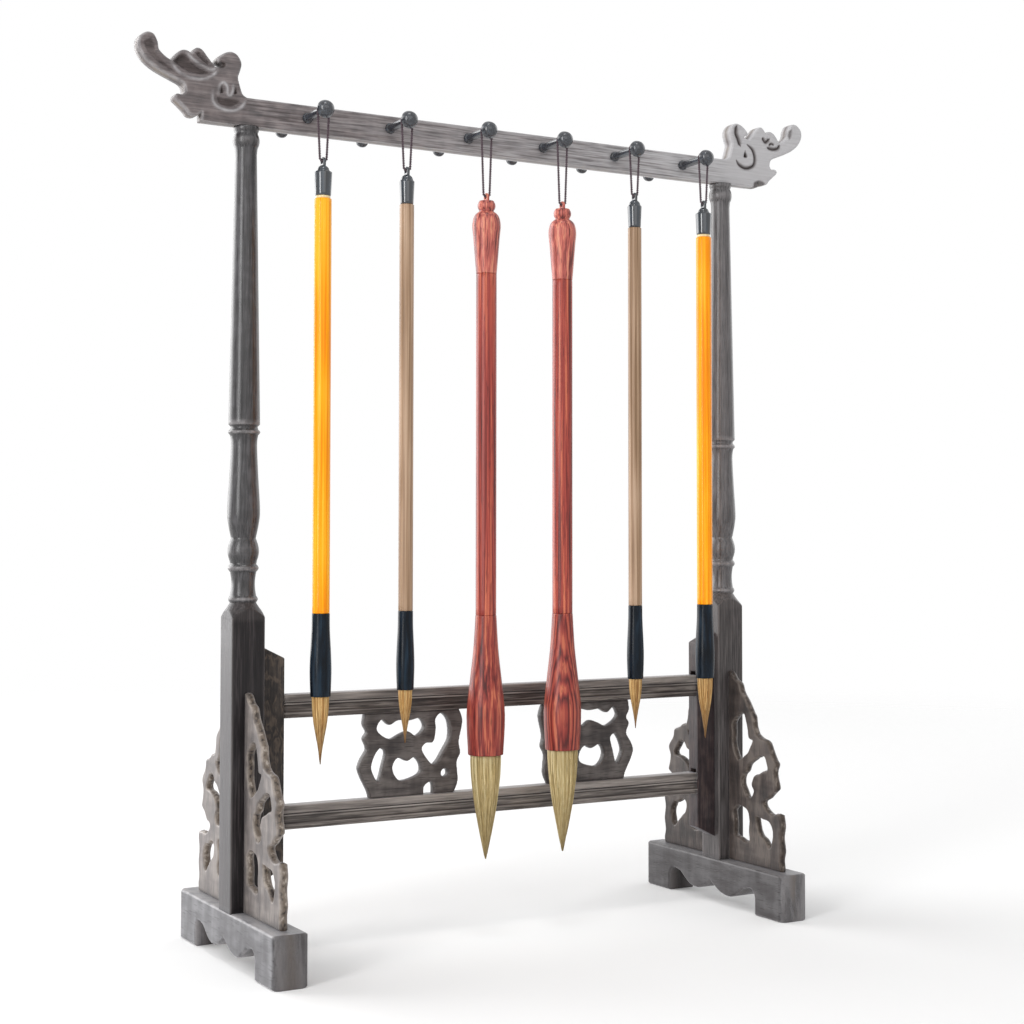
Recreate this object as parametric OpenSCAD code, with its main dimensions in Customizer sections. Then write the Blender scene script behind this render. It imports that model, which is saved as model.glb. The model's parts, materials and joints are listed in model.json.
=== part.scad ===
// Chinese brush rack with writing brushes hung along its front.
// X runs along the beam, -Y is the front and Z is up.
// The origin is on the floor, under the middle of the rack.

/* [Feet] */
// Length of a foot, front to back
foot_l = 124; // [110:1:150]
// Ledge of a foot beyond the post on each side
foot_ledge = 0.25; // [0:0.25:3]
// Height of a foot
foot_h = 23.5; // [22:0.5:32]
// Length of the leg at each end of a foot
leg_l = 23; // [15:0.5:26]
// Height of the arch beside each leg
arch_h = 13; // [11:0.5:14]
// Radius of the arch beside each leg
arch_r = 4.5; // [3:0.25:6]
// Height of the apron's hanging lobes
lobe_h = 6; // [5:0.5:10]
// Height of the cusp in the middle of the apron
cusp_h = 11; // [10:0.5:13]
// Radius of a foot's upright corners
foot_r = 4; // [1:0.5:6]

/* [Posts] */
// Distance between the post centres
post_gap = 272; // [262:1:320]
// Side of a post's square part
post_w = 16; // [15.5:0.25:20]
// Height of the square part's corners above the floor
shoulder_z = 157.5; // [150:0.5:170]
// Height of the turned shoulder above those corners
shoulder_h = 7; // [5:0.5:9]
// Diameter of the turned neck above the shoulder
neck_d = 12; // [10:0.25:13]
// Diameter of the turned rings
ring_d = 14.2; // [13:0.1:15.4]
// Height of the lower ring
low_ring_h = 3.2; // [2:0.1:5]
// Height of the cove between the rings
cove_h = 11; // [8:0.5:14]
// Height of the upper ring
top_ring_h = 3.6; // [2:0.1:5]
// Diameter of the ball
ball_d = 14.4; // [13:0.1:15.4]
// Length of the ball
ball_h = 12; // [9:0.5:15]
// Largest diameter of the vase
vase_d = 15.1; // [13:0.1:15.4]
// Length of the vase
vase_h = 48; // [40:1:60]
// Height of the ring on top of the vase
vase_ring_h = 2.6; // [2:0.1:4]
// Height of the step between that ring and the long shaft
shaft_step_h = 2.4; // [1.6:0.1:4]
// Diameter at the foot of the long shaft
shaft_low_d = 14.6; // [13:0.1:15.4]
// Diameter at the head of the long shaft
shaft_top_d = 10; // [8:0.1:11]
// Diameter of the bead under the beam
bead_d = 12.5; // [11:0.1:14]
// Height of the bead under the beam
bead_h = 7; // [5:0.5:9]
// Height of the plain collar between the bead and the beam
bead_gap = 3; // [2:0.5:5]
// Side of the square tenon in the foot
post_tenon_w = 10; // [7:0.5:11]
// Depth of the square tenon in the foot
post_tenon_h = 8; // [5:0.5:9]
// Diameter of the round tenon in the beam
post_pin_d = 5; // [4:0.25:5.5]
// Length of the round tenon in the beam
post_pin_l = 8; // [5:0.5:10]

/* [Beam] */
// Reach of the beam past a post's centre, to the notch behind the dragon's jaw
beam_overhang = 23; // [20:0.5:30]
// Height of the beam
beam_h = 13.25; // [12:0.25:16]
// Thickness of the beam and its dragon heads
beam_t = 8.5; // [8:0.25:12]
// Height of the beam's top above the floor
beam_top_z = 400; // [390:1:430]
// Depth of the carved lines on the heads
carve_depth = 0.9; // [0.4:0.1:1.5]
// Width of the carved lines on the heads
carve_w = 1.3; // [0.8:0.1:1.8]

/* [Pegs] */
// Distance between neighbouring pegs
peg_pitch = 43; // [41:0.5:46]
// Distance a peg stands out of the beam
peg_reach = 27; // [24:0.5:34]
// Diameter of a peg's shaft
peg_d = 3.8; // [3:0.1:4.4]
// Diameter of the collar where a peg meets the beam
peg_collar_d = 5.2; // [4.6:0.1:6.5]
// Length of that collar
peg_collar_h = 3; // [2:0.25:5]
// Diameter of the knob on a peg at the front
peg_knob_d = 8.4; // [7:0.1:10]
// Diameter of the knob on a peg at the back
back_knob_d = 6.2; // [5.6:0.1:10]
// Length of a peg's knob
peg_knob_l = 5.6; // [4:0.1:7]
// Diameter of the pin that seats a peg in the beam
peg_pin_d = 4; // [3:0.1:4.4]
// Length of the pin that seats a peg in the beam
peg_pin_l = 3.6; // [2:0.1:3.8]

/* [Stiles and rails] */
// Width of a stile, from the post to the rails
stile_w = 11; // [8:0.5:14]
// Thickness of a stile, front to back
stile_t = 8.5; // [7:0.5:12]
// Height of a stile's lowest corner above the floor
stile_low_z = 35.5; // [28:0.5:44]
// Height of a stile's highest corner above the floor
stile_top_z = 144; // [132:0.5:150]
// Rise of a stile's slanted ends
stile_slant = 5.5; // [2:0.5:8]
// Height of a rail
rail_h = 11; // [10:0.5:14]
// Thickness of a rail
rail_t = 8; // [6.5:0.5:10]
// Height of the lower rail's underside above the floor
lower_rail_z = 58.7; // [54:0.1:62]
// Height of the plain band along a rail's foot
rail_band_h = 2.4; // [1.5:0.1:3]
// Height of the sunk field along a rail's faces
field_h = 3.4; // [2.5:0.1:4]
// Height of the ridge above the field
ridge_h = 1; // [0.6:0.1:1.4]
// Depth of the sunk field along a rail's faces
field_depth = 0.7; // [0.3:0.1:1]
// Thickness of a rail's tenon
tenon_t = 4; // [3:0.25:5]
// Height of a rail's tenon
tenon_h = 7.5; // [5:0.5:9]
// Length of a rail's tenon inside the post
tenon_in_post = 5; // [3:0.5:6]
// Open slot left above each tenon in the stile
mortise_slot = 3.5; // [2.5:0.25:5]

/* [Carved panels] */
// Width of a carved panel
panel_w = 56; // [48:1:64]
// Height of a carved panel between the rails
panel_h = 40.6; // [36:0.2:46]
// Thickness of a carved panel
panel_t = 5; // [4:0.25:6]
// Distance from the middle of the rack to a panel's middle
panel_x = 50; // [42:1:60]
// Thickness of the tongue along a panel's edge
tongue_t = 2.2; // [1.5:0.1:3]
// Depth of the tongue along a panel's edge
tongue_h = 2; // [1:0.25:2.5]

/* [Carved brackets] */
// Reach of a bracket out from the post
bracket_l = 45; // [38:0.5:50]
// Height of a bracket above the foot
bracket_h = 100; // [90:1:110]
// Thickness of a bracket
bracket_t = 4; // [3:0.25:6]
// Thickness of the spline that seats a bracket in the post and the foot
spline_t = 2; // [1.2:0.1:2.8]
// Depth of that spline
spline_h = 2.6; // [1.5:0.1:3]

/* [Hanging loops] */
// Diameter of the cord
cord_d = 1.3; // [1:0.1:1.6]
// Gap between a cord and the peg or eye that carries it
cord_gap = 0.3; // [0.2:0.05:0.5]
// Thickness of the eye that a loop passes through
eye_w = 1.5; // [1:0.1:2]
// Wood or horn left around the hole of an eye
eye_wall = 0.8; // [0.6:0.1:1.2]
// Drop from a peg's axis to the eye of an orange or taupe brush
short_drop = 24; // [20:0.5:30]
// Drop from a peg's axis to the eye of a rosewood brush
long_drop = 32.5; // [28:0.5:40]

/* [Orange brushes] */
// Diameter of the cap's top edge
orange_cap_d = 8.3; // [7.6:0.1:9.5]
// Diameter of the handle
orange_handle_d = 8; // [6.8:0.1:8.5]
// Length of the handle
orange_handle_l = 192; // [170:1:205]
// Largest diameter of the ferrule
orange_ferrule_d = 10; // [8.8:0.1:11]
// Length of the ferrule
orange_ferrule_h = 38; // [30:0.5:45]
// Length of the hair below the ferrule
orange_tuft_l = 31; // [24:0.5:38]
// Height of the pale ring under the cap
collar_h = 1.3; // [0.8:0.1:2]

/* [Taupe brushes] */
// Diameter of the cap's top edge
taupe_cap_d = 7.2; // [6.8:0.1:8.5]
// Diameter of the handle
taupe_handle_d = 6.9; // [5.6:0.1:7.5]
// Length of the handle
taupe_handle_l = 193; // [170:1:205]
// Largest diameter of the ferrule
taupe_ferrule_d = 8.6; // [7.4:0.1:9.5]
// Length of the ferrule
taupe_ferrule_h = 37; // [30:0.5:45]
// Length of the hair below the ferrule
taupe_tuft_l = 25; // [20:0.5:32]

/* [Cane brush caps] */
// Height of a cap below its dome
cap_h = 11.3; // [9:0.1:14]
// Height of the dome on a cap
dome_h = 3.2; // [2.6:0.1:4]
// Diameter of the dome on a cap
dome_d = 6; // [5.2:0.1:6.4]

/* [Rosewood brushes] */
// Height of the finial
finial_h = 36; // [30:0.5:42]
// Diameter of the finial's swell
finial_d = 13.9; // [12:0.1:15]
// Diameter of the finial's knob
finial_knob_d = 8.8; // [7:0.1:9.5]
// Height of the finial's knob
finial_knob_h = 5.4; // [4:0.1:6]
// Diameter of the shaft
shaft_d = 10; // [9:0.1:11]
// Length of the shaft
shaft_l = 166; // [150:1:175]
// Largest diameter of the bell
bell_d = 18.6; // [16:0.1:19.4]
// Diameter of the bell's mouth
bell_mouth_d = 17; // [14.5:0.1:17.6]
// Length of the bell
bell_h = 67; // [58:0.5:74]
// Length of the hair below the bell
bell_tuft_l = 50; // [42:0.5:54]

/* [Brush joints and hair] */
// Diameter of the dowel that joins a handle to its neighbours
dowel_d = 3.4; // [2.6:0.1:4]
// Length of that dowel
dowel_l = 6; // [4:0.5:8]
// Narrowing of a ferrule from its widest part to its mouth
ferrule_close = 0.7; // [0.3:0.1:1]
// Wall around the mouth that holds the hair
mouth_wall = 0.6; // [0.4:0.1:0.9]
// Depth of the mouth that holds the hair
mouth_h = 5; // [4:0.25:7]
// Thickness of the slice that binds the hair
slice_h = 2; // [1.2:0.1:3]
// Spacing of the strands of hair in a cane brush
small_hair_pitch = 0.89; // [0.85:0.01:1.1]
// Spacing of the strands of hair in a rosewood brush
large_hair_pitch = 1.6; // [1.5:0.01:2]

/* [Fits] */
// Gap around a seated tenon, tongue, pin or dowel
fit = 0.1; // [0.05:0.05:0.2]

/* [Hidden] */
$fn = 64;
// Cuts, and pieces that grow out of another, run this far past the faces they cross
over = 1;
// Softened edge of the turned pieces
edge = 0.3;
post_x = post_gap / 2;
foot_w = post_w + 2 * foot_ledge;
beam_l = post_gap + 2 * beam_overhang;
beam_low_z = beam_top_z - beam_h;
peg_z = beam_top_z - beam_h / 2;
rail_l = post_gap - post_w - 2 * stile_w;
rail_end = rail_l / 2 + stile_w + tenon_in_post;
upper_rail_z = lower_rail_z + rail_h + panel_h;
tenon_low = (rail_h - tenon_h) / 2;
// A loop hangs just behind a peg's knob
loop_out = beam_t / 2 + peg_reach - peg_knob_l - cord_gap - cord_d / 2;
loop_low_r = eye_w / 2 + cord_gap + cord_d / 2;
loop_top_r = peg_d / 2 + cord_gap + cord_d / 2;
// The cord bends through the eye, so its middle rises by this much at the eye's faces
cord_rise = loop_low_r - sqrt(pow(loop_low_r, 2) - pow(eye_w / 2, 2));
eye_r = cord_d / 2 + cord_gap + cord_rise / 2;
eye_out_r = eye_r + eye_wall;
// Depth to which an eye's stem is rooted in the knob below it
eye_root = 1.2;
bracket_size = [bracket_l, bracket_h];
panel_size = [panel_w, panel_h];
// Tongues and splines keep to the straight part of the edge that they grow from
tongue_w = panel_w * 0.8;
post_spline_l = bracket_h * 0.76;
post_spline_up = bracket_h * 0.06;
foot_spline_l = bracket_l * 0.7;
foot_spline_out = bracket_l * 0.15;
kinds = ["orange", "taupe", "red", "red", "taupe", "orange"];
peg_count = len(kinds);
sides = ["left", "right"];
ends = ["front", "back"];

function pieces_of(kind) =
    kind == "red" ? ["loop", "finial", "handle", "bell", "tuft"]
    : kind == "orange" ? ["loop", "cap", "collar", "handle", "ferrule", "tuft"]
    : ["loop", "cap", "handle", "ferrule", "tuft"];
function reversed(list) = [for (i = [len(list) - 1:-1:0]) list[i]];
function stretched(points, size) = [for (p = points) [p.x * size.x / 100, p.y * size.y / 100]];
function flipped(points) = [for (p = reversed(points)) [-p.x, p.y]];
function peg_x(i) = (i - (peg_count + 1) / 2) * peg_pitch;

// Cubic curve from b to c that leaves and arrives along its neighbours a and d
function curve_at(a, b, c, d, t) =
    0.5 * (2 * b + (c - a) * t + (2 * a - 5 * b + 4 * c - d) * t * t + (3 * b - a - 3 * c + d) * t * t * t);
// Smooth closed curve through a few points
function closed_curve(points, steps = 4) =
    let (n = len(points))
    [for (i = [0:n - 1], k = [0:steps - 1])
        curve_at(points[(i + n - 1) % n], points[i], points[(i + 1) % n], points[(i + 2) % n], k / steps)];
// Smooth curve from the first point to the last
function open_curve(points, steps = 4) =
    let (n = len(points))
    concat(
        [for (i = [0:n - 2], k = [0:steps - 1])
            let (before = points[max(i - 1, 0)], after = points[min(i + 2, n - 1)])
            curve_at(before, points[i], points[i + 1], after, k / steps)],
        [points[n - 1]]
    );
function arc(centre, r, from, to, steps = 6) =
    [for (k = [0:steps]) let (a = from + (to - from) * k / steps) centre + r * [cos(a), sin(a)]];
// Turned bead, or cove where the swell is negative, as radius and height pairs
function turned(z, h, r, swell, steps = 8) =
    [for (k = [0:steps]) [r + swell * sin(180 * k / steps), z + h * k / steps]];
// Band of even width along a curve, narrowing to a point at both ends
function carved_line(points, w) =
    let (line = open_curve(points), n = len(line) - 1)
    let (across = [for (i = [0:n])
        let (d = line[min(i + 1, n)] - line[max(i - 1, 0)], half = w / 2 * max(sin(180 * i / n), 0.15))
        [-d.y, d.x] / norm(d) * half])
    concat([for (i = [0:n]) line[i] + across[i]], [for (i = [n:-1:0]) line[i] - across[i]]);

// Puts a right-hand piece on either side of the rack
module on_side(s) {
    mirror([s == "left" ? 1 : 0, 0, 0])
        children();
}
// Puts a back piece on the back or the front of the rack
module on_end(e) {
    mirror([0, e == "front" ? 1 : 0, 0])
        children();
}
// Stands an outline drawn in Y and Z up across the rack, centred on X
module across(w) {
    rotate([90, 0, 90])
        linear_extrude(w, center = true)
            children();
}
// Stands an outline drawn in X and Z up along the rack, centred on Y
module along(t) {
    rotate([90, 0, 0])
        linear_extrude(t, center = true)
            children();
}
module turn(profile) {
    rotate_extrude()
        polygon(profile);
}

// Foot: two legs, and between them an apron with two lobes and a cusp
module foot_side() {
    leg_in = foot_l / 2 - leg_l;
    lobe_out = leg_in - 2 * arch_r;
    half = concat(
        [[foot_l / 2, foot_h], [foot_l / 2, 0], [leg_in, 0]],
        arc([leg_in - arch_r, arch_h - arch_r], arch_r, 0, 130),
        open_curve([[lobe_out + 0.6, (arch_h + 2 * lobe_h) / 3], [lobe_out * 0.68, lobe_h],
            [lobe_out * 0.3, lobe_h + 0.6], [0, cusp_h]])
    );
    polygon(concat(half, flipped(half)));
}
module foot_plan() {
    x = foot_w / 2 - foot_r;
    y = foot_l / 2 - foot_r;
    polygon(concat(
        arc([x, y], foot_r, 0, 90),
        arc([-x, y], foot_r, 90, 180),
        arc([-x, -y], foot_r, 180, 270),
        arc([x, -y], foot_r, 270, 360)
    ));
}
module foot(s) {
    mortise = post_tenon_w + 2 * fit;
    color("#5f5855")
        on_side(s)
            translate([post_x, 0, 0])
                difference() {
                    intersection() {
                        across(2 * foot_w)
                            foot_side();
                        linear_extrude(foot_h)
                            foot_plan();
                    }
                    translate([-mortise / 2, -mortise / 2, foot_h - post_tenon_h - fit])
                        cube([mortise, mortise, 2 * post_tenon_h]);
                    for (e = ends)
                        on_end(e)
                            bracket_foot_spline(fit);
                }
}

// Post: square below with turned shoulders, then rings, ball, vase and a tapered shaft
function post_profile() =
    let (z1 = shoulder_z + shoulder_h, z2 = z1 + low_ring_h, z3 = z2 + cove_h, z4 = z3 + top_ring_h)
    let (z5 = z4 + ball_h, z6 = z5 + vase_h, shaft_z = z6 + vase_ring_h + shaft_step_h)
    let (bead_z = beam_low_z - bead_gap - bead_h, corner_r = post_w * sqrt(0.5) + fit, vase_r = vase_d / 2)
    let (neck_r = neck_d / 2, ring_r = ring_d / 2, waist = neck_r - edge, top_r = shaft_top_d / 2)
    concat(
        [[0, foot_h], [corner_r + over, foot_h], [corner_r + over, shoulder_z - over]],
        open_curve([[corner_r, shoulder_z], [post_w / 2, shoulder_z + shoulder_h * 0.57], [neck_r, z1]]),
        turned(z1, low_ring_h, neck_r, ring_r - neck_r - edge),
        turned(z2, cove_h, neck_r, -2 * edge),
        turned(z3, top_ring_h, neck_r, ring_r - neck_r),
        turned(z4, ball_h, waist, ball_d / 2 - waist),
        open_curve([[waist, z5], [vase_r * 0.93, z5 + vase_h * 0.14], [vase_r, z5 + vase_h * 0.28],
            [vase_r * 0.88, z5 + vase_h * 0.6], [neck_r, z5 + vase_h * 0.9], [ring_r - 2 * edge, z6]]),
        turned(z6, vase_ring_h, ring_r - 2 * edge, 3 * edge),
        [[ring_r - 3 * edge, shaft_z - shaft_step_h / 2], [shaft_low_d / 2, shaft_z]],
        [[top_r, bead_z - bead_gap]],
        turned(bead_z, bead_h, top_r + edge, bead_d / 2 - top_r - edge),
        [[top_r + 3 * edge, beam_low_z - bead_gap / 2], [top_r + 3 * edge, beam_low_z], [0, beam_low_z]]
    );
module post(s) {
    color("#5a5452")
        on_side(s)
            translate([post_x, 0, 0])
                difference() {
                    union() {
                        intersection() {
                            translate([-post_w / 2, -post_w / 2, foot_h])
                                cube([post_w, post_w, beam_low_z]);
                            turn(post_profile());
                        }
                        translate([-post_tenon_w / 2, -post_tenon_w / 2, foot_h - post_tenon_h])
                            cube([post_tenon_w, post_tenon_w, 2 * post_tenon_h]);
                        translate([0, 0, beam_low_z - post_pin_l])
                            cylinder(d = post_pin_d, h = 2 * post_pin_l);
                    }
                    for (e = ends)
                        on_end(e)
                            bracket_post_spline(fit);
                    for (z = [lower_rail_z, upper_rail_z])
                        translate([-post_w / 2 - over, -tenon_t / 2 - fit, z + tenon_low - fit])
                            cube([tenon_in_post + over + fit, tenon_t + 2 * fit, tenon_h + 2 * fit]);
                }
}

// Stile: upright against the post's inner face, cut on the slant, that the rails pass through
module stile(s) {
    out_x = post_x - post_w / 2;
    in_x = out_x - stile_w;
    color("#6b6461")
        on_side(s)
            difference() {
                along(stile_t)
                    polygon([
                        [out_x, stile_low_z],
                        [out_x, stile_top_z],
                        [in_x, stile_top_z - stile_slant],
                        [in_x, stile_low_z + stile_slant]
                    ]);
                for (z = [lower_rail_z, upper_rail_z])
                    translate([in_x - over, -tenon_t / 2 - fit, z + tenon_low - fit])
                        cube([stile_w + 2 * over, tenon_t + 2 * fit, tenon_h + 2 * fit + mortise_slot]);
            }
}

// Rail: moulded on both faces, with a tenon at each end and a groove for the panels
module rail_section() {
    face = rail_t / 2;
    sunk = face - field_depth;
    round_r = 2 * edge;
    field_z = rail_band_h + edge;
    ridge_z = field_z + field_h;
    half = concat(
        arc([face - round_r, round_r], round_r, -90, 0, 3),
        [[face, rail_band_h], [sunk, field_z]],
        turned(ridge_z, ridge_h, sunk, field_depth * 0.8, 6),
        [[face, ridge_z + ridge_h + edge]],
        arc([face - round_r, rail_h - round_r], round_r, 0, 90, 3)
    );
    polygon(concat(half, flipped(half)));
}
module rail(z, groove_z) {
    color("#7d7672")
        difference() {
            translate([0, 0, z])
                union() {
                    across(rail_l)
                        rail_section();
                    translate([-rail_end, -tenon_t / 2, tenon_low])
                        cube([2 * rail_end, tenon_t, tenon_h]);
                }
            for (s = sides)
                on_side(s)
                    panel_tongue(groove_z, fit);
        }
}

// Panel: cloud scroll pierced right through, seated between the rails by tongues
panel_left = [[6, 100], [5, 87], [8, 78], [5, 70], [8, 58], [3, 46], [0.5, 36], [3, 25], [9, 9], [11, 0]];
panel_right = [[91, 0], [95, 14], [94, 36], [97.5, 47], [96, 61], [99.5, 85], [96, 100]];
panel_cloud = [[17, 83], [22, 92], [29, 85], [37, 90], [48, 89], [58, 91], [62.5, 80], [55, 70], [47, 76],
    [39, 73], [30, 68], [20, 75]];
panel_comma = [[73, 89], [79, 96], [86, 86], [87, 66], [81, 51], [74, 37], [69, 36], [60, 53], [64, 61],
    [71, 62], [73.5, 78]];
panel_leaf = [[18, 56], [21, 58], [25.5, 53], [23, 38], [18.5, 19], [12, 34], [14, 47]];
panel_bean = [[32, 36], [37, 45.5], [46, 41], [53, 45], [59, 35], [57, 24], [41, 18], [34, 25]];
panel_arch = [[61.5, -5], [62, 9], [68, 14.5], [71, 10], [71, -5]];
panel_eye = [82, 24];
panel_eye_d = 4;
module panel_tongue(z, gap) {
    translate([panel_x - tongue_w / 2 - gap, -tongue_t / 2 - gap, z - tongue_h - gap])
        cube([tongue_w + 2 * gap, tongue_t + 2 * gap, 2 * (tongue_h + gap)]);
}
module panel(s) {
    low_z = lower_rail_z + rail_h;
    outline = concat(open_curve(panel_left), open_curve(panel_right));
    color("#565049")
        on_side(s)
            union() {
                translate([panel_x + panel_w / 2, 0, low_z])
                    mirror([1, 0, 0])
                        along(panel_t)
                            difference() {
                                polygon(stretched(outline, panel_size));
                                for (hole = [panel_cloud, panel_comma, panel_leaf, panel_bean])
                                    polygon(stretched(closed_curve(hole), panel_size));
                                polygon(stretched(open_curve(panel_arch), panel_size));
                                translate([panel_eye.x * panel_w / 100, panel_eye.y * panel_h / 100])
                                    circle(d = panel_eye_d);
                            }
                difference() {
                    for (z = [low_z, upper_rail_z])
                        panel_tongue(z, 0);
                    translate([panel_x - panel_w, -panel_t, low_z + over])
                        cube([2 * panel_w, 2 * panel_t, panel_h - 2 * over]);
                }
            }
}

// Bracket: pierced scroll standing on the foot against the post, drawn as reach and height
bracket_ridge = [[0, 100], [9, 97.5], [22, 92], [35, 84], [47, 77], [52, 70], [54, 68.5], [66, 66.5],
    [76, 64.5], [82, 60], [90, 54], [88.5, 49], [91, 42]];
bracket_notch = [[91, 42], [80, 37], [67, 33.5], [72, 30.5], [86, 28.5], [100, 29]];
bracket_drop = [[9, 62], [9, 72], [20, 77], [33, 77.5], [36, 71], [40, 66], [47, 64.5], [38, 59], [19, 53]];
bracket_hook = [[62, 58], [76, 53], [73, 50], [57, 48], [44, 43], [50, 38], [43, 34.5], [33, 36], [27, 41],
    [31, 47.5]];
bracket_slit = [[10, 24], [12, 28], [30, 29.5], [40, 26.5], [39, 20], [41, 12.5], [30, 12], [12, 14]];
bracket_leaf = [[55, 25], [64, 25.5], [82, 22], [83.5, 13], [75, 12], [62, 17], [55, 19.5]];
module bracket_post_spline(gap) {
    translate([-spline_t / 2 - gap, post_w / 2 - spline_h - gap, foot_h + post_spline_up - gap])
        cube([spline_t + 2 * gap, spline_h + over + gap, post_spline_l + 2 * gap]);
}
module bracket_foot_spline(gap) {
    translate([-spline_t / 2 - gap, post_w / 2 + foot_spline_out - gap, foot_h - spline_h - gap])
        cube([spline_t + 2 * gap, foot_spline_l + 2 * gap, spline_h + over + gap]);
}
module bracket(s, e) {
    outline = concat([[0, 0]], open_curve(bracket_ridge), open_curve(bracket_notch), [[100, 0]]);
    color("#6f6663")
        on_side(s)
            translate([post_x, 0, 0])
                on_end(e)
                    union() {
                        translate([0, post_w / 2, foot_h])
                            across(bracket_t)
                                difference() {
                                    polygon(stretched(outline, bracket_size));
                                    for (hole = [bracket_drop, bracket_hook, bracket_slit, bracket_leaf])
                                        polygon(stretched(closed_curve(hole), bracket_size));
                                }
                        bracket_post_spline(0);
                        bracket_foot_spline(0);
                    }
}

// Dragon head at the beam's end, drawn out from the beam's end and up from its top
head_ear = [[-22, 0], [-19.8, 1.5], [-18.4, 5.5], [-17.6, 9], [-18.6, 12.2], [-19.2, 16], [-17, 19.6],
    [-13.6, 20.6], [-9.6, 18.8], [-6.9, 15.6], [-9.4, 13.6], [-6.4, 12.6]];
head_mane = [[-6.4, 12.6], [-3, 16.4], [0, 19.8], [2.8, 20.2], [5, 17.6]];
head_brow = [[5, 17.6], [8, 18.6], [11, 17.4], [14.6, 13]];
head_snout = [[14.6, 13], [17, 14.2], [20.2, 17], [21, 20.6], [23, 24], [26.4, 24.4], [29.6, 21.6],
    [30, 17.4], [27.6, 13], [23.6, 9.6], [18.6, 7], [13, 4.7], [9, 2.8], [7.9, 0]];
head_jaw = [[7.9, -0.6], [9, -2.2], [11.8, -2.2], [12.8, -4.2], [9.8, -7], [7.2, -9.4], [5.6, -11.2],
    [2.6, -11.4], [0, -9.6]];
brow_line = [[12.4, 10.4], [9, 8.4], [4.6, 7], [0, 7], [-3.4, 8.6], [-5.6, 10.6]];
mane_line = [[5.4, 15], [3.4, 13], [0.4, 11.4], [-2.4, 11]];
cheek_line = [[-4.4, 5.4], [-4, 1.4], [-4.8, -3.2], [-7.8, -5.6], [-12.4, -6.2], [-17, -4.8],
    [-19.6, -1.6]];
ear_line = [[-9.6, 15], [-12, 16.4], [-14.2, 15], [-13.4, 12.8]];
head_eye = [[-8.8, 1.8], [-9.4, 4.6], [-11.2, 5], [-12.2, 2.6], [-10.6, 0.4]];
function from_beam_end(points) = [for (p = points) [beam_l / 2 + p.x, beam_top_z + p.y]];
function beam_half() = concat(
    from_beam_end(concat(open_curve(head_ear), open_curve(head_mane), open_curve(head_brow),
        open_curve(head_snout), open_curve(head_jaw))),
    [[beam_l / 2, beam_low_z]]
);
module head_carving() {
    for (line = [brow_line, mane_line, cheek_line, ear_line])
        polygon(carved_line(from_beam_end(line), carve_w));
    polygon(from_beam_end(closed_curve(head_eye)));
}
module beam() {
    color("#7d7672")
        difference() {
            along(beam_t)
                polygon(concat(beam_half(), flipped(beam_half())));
            for (s = sides, e = ends)
                on_side(s)
                    on_end(e)
                        translate([0, beam_t / 2, 0])
                            along(2 * carve_depth)
                                head_carving();
            for (s = sides)
                on_side(s)
                    translate([post_x, 0, beam_low_z - over])
                        cylinder(d = post_pin_d + 2 * fit, h = post_pin_l + over + fit);
            for (i = [1:peg_count], e = ends)
                on_end(e)
                    translate([peg_x(i), beam_t / 2 + over, peg_z])
                        rotate([90, 0, 0])
                            cylinder(d = peg_pin_d + 2 * fit, h = peg_pin_l + over + fit);
        }
}

// Peg: pin in the beam, collar, slim shaft and a mushroom knob, drawn as shares of its radius and length
knob_curve = [[96, 16], [100, 30], [80, 70], [40, 93], [0, 100]];
module peg(e, i) {
    r = peg_d / 2;
    knob_r = (e == "front" ? peg_knob_d : back_knob_d) / 2;
    knob_z = peg_reach - peg_knob_l;
    knob = stretched(open_curve(knob_curve), [knob_r, peg_knob_l]);
    color("#2c2d30")
        on_end(e)
            translate([peg_x(i), beam_t / 2, peg_z])
                rotate([-90, 0, 0])
                    turn(concat(
                        [[0, -peg_pin_l], [peg_pin_d / 2, -peg_pin_l], [peg_pin_d / 2, 0]],
                        turned(0, peg_collar_h, r, peg_collar_d / 2 - r),
                        [[r, knob_z], [knob_r - 2 * edge, knob_z + edge]],
                        [for (p = knob) [p.x, knob_z + p.y]]
                    ));
}

function drop_of(i) = kinds[i - 1] == "red" ? long_drop : short_drop;
// Places a brush piece drawn from the axis of its eye
module hung(i) {
    translate([peg_x(i), -loop_out, peg_z - drop_of(i)])
        children();
}

// Loop: one closed cord round the peg above and through the eye below
cord_sides = 8;
bend_steps = 8;
function loop_stations(drop) =
    let (low_z = loop_low_r - cord_rise / 2, lean = asin((loop_low_r - loop_top_r) / (drop - low_z)))
    concat(
        [for (k = [0:bend_steps]) [drop, loop_top_r, lean + (180 - 2 * lean) * k / bend_steps]],
        [for (k = [0:bend_steps]) [low_z, loop_low_r, 180 - lean + (180 + 2 * lean) * k / bend_steps]]
    );
module loop(i) {
    stations = loop_stations(drop_of(i));
    n = len(stations);
    points = [for (s = stations, k = [0:cord_sides - 1])
        let (a = 360 * k / cord_sides, r = s[1] + cord_d / 2 * cos(a))
        [r * cos(s[2]), cord_d / 2 * sin(a), s[0] + r * sin(s[2])]];
    faces = [for (j = [0:n - 1], k = [0:cord_sides - 1])
        let (a = j * cord_sides + k, b = j * cord_sides + (k + 1) % cord_sides)
        let (c = (a + cord_sides) % (n * cord_sides), d = (b + cord_sides) % (n * cord_sides))
        each [[a, b, d], [a, d, c]]];
    color("#5a4a52")
        hung(i)
            polyhedron(points, faces);
}

// Eye: flat lug with a cross hole that the loop passes through
module eye(stem) {
    difference() {
        union() {
            rotate([0, 90, 0])
                cylinder(r = eye_out_r, h = eye_w, center = true);
            translate([-eye_w / 2, -eye_out_r, -stem])
                cube([eye_w, 2 * eye_out_r, stem]);
        }
        rotate([0, 90, 0])
            cylinder(r = eye_r, h = 2 * eye_w, center = true);
    }
}
module socket(z) {
    translate([0, 0, z])
        cylinder(d = dowel_d + 2 * fit, h = 2 * (dowel_l + fit), center = true);
}

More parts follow.
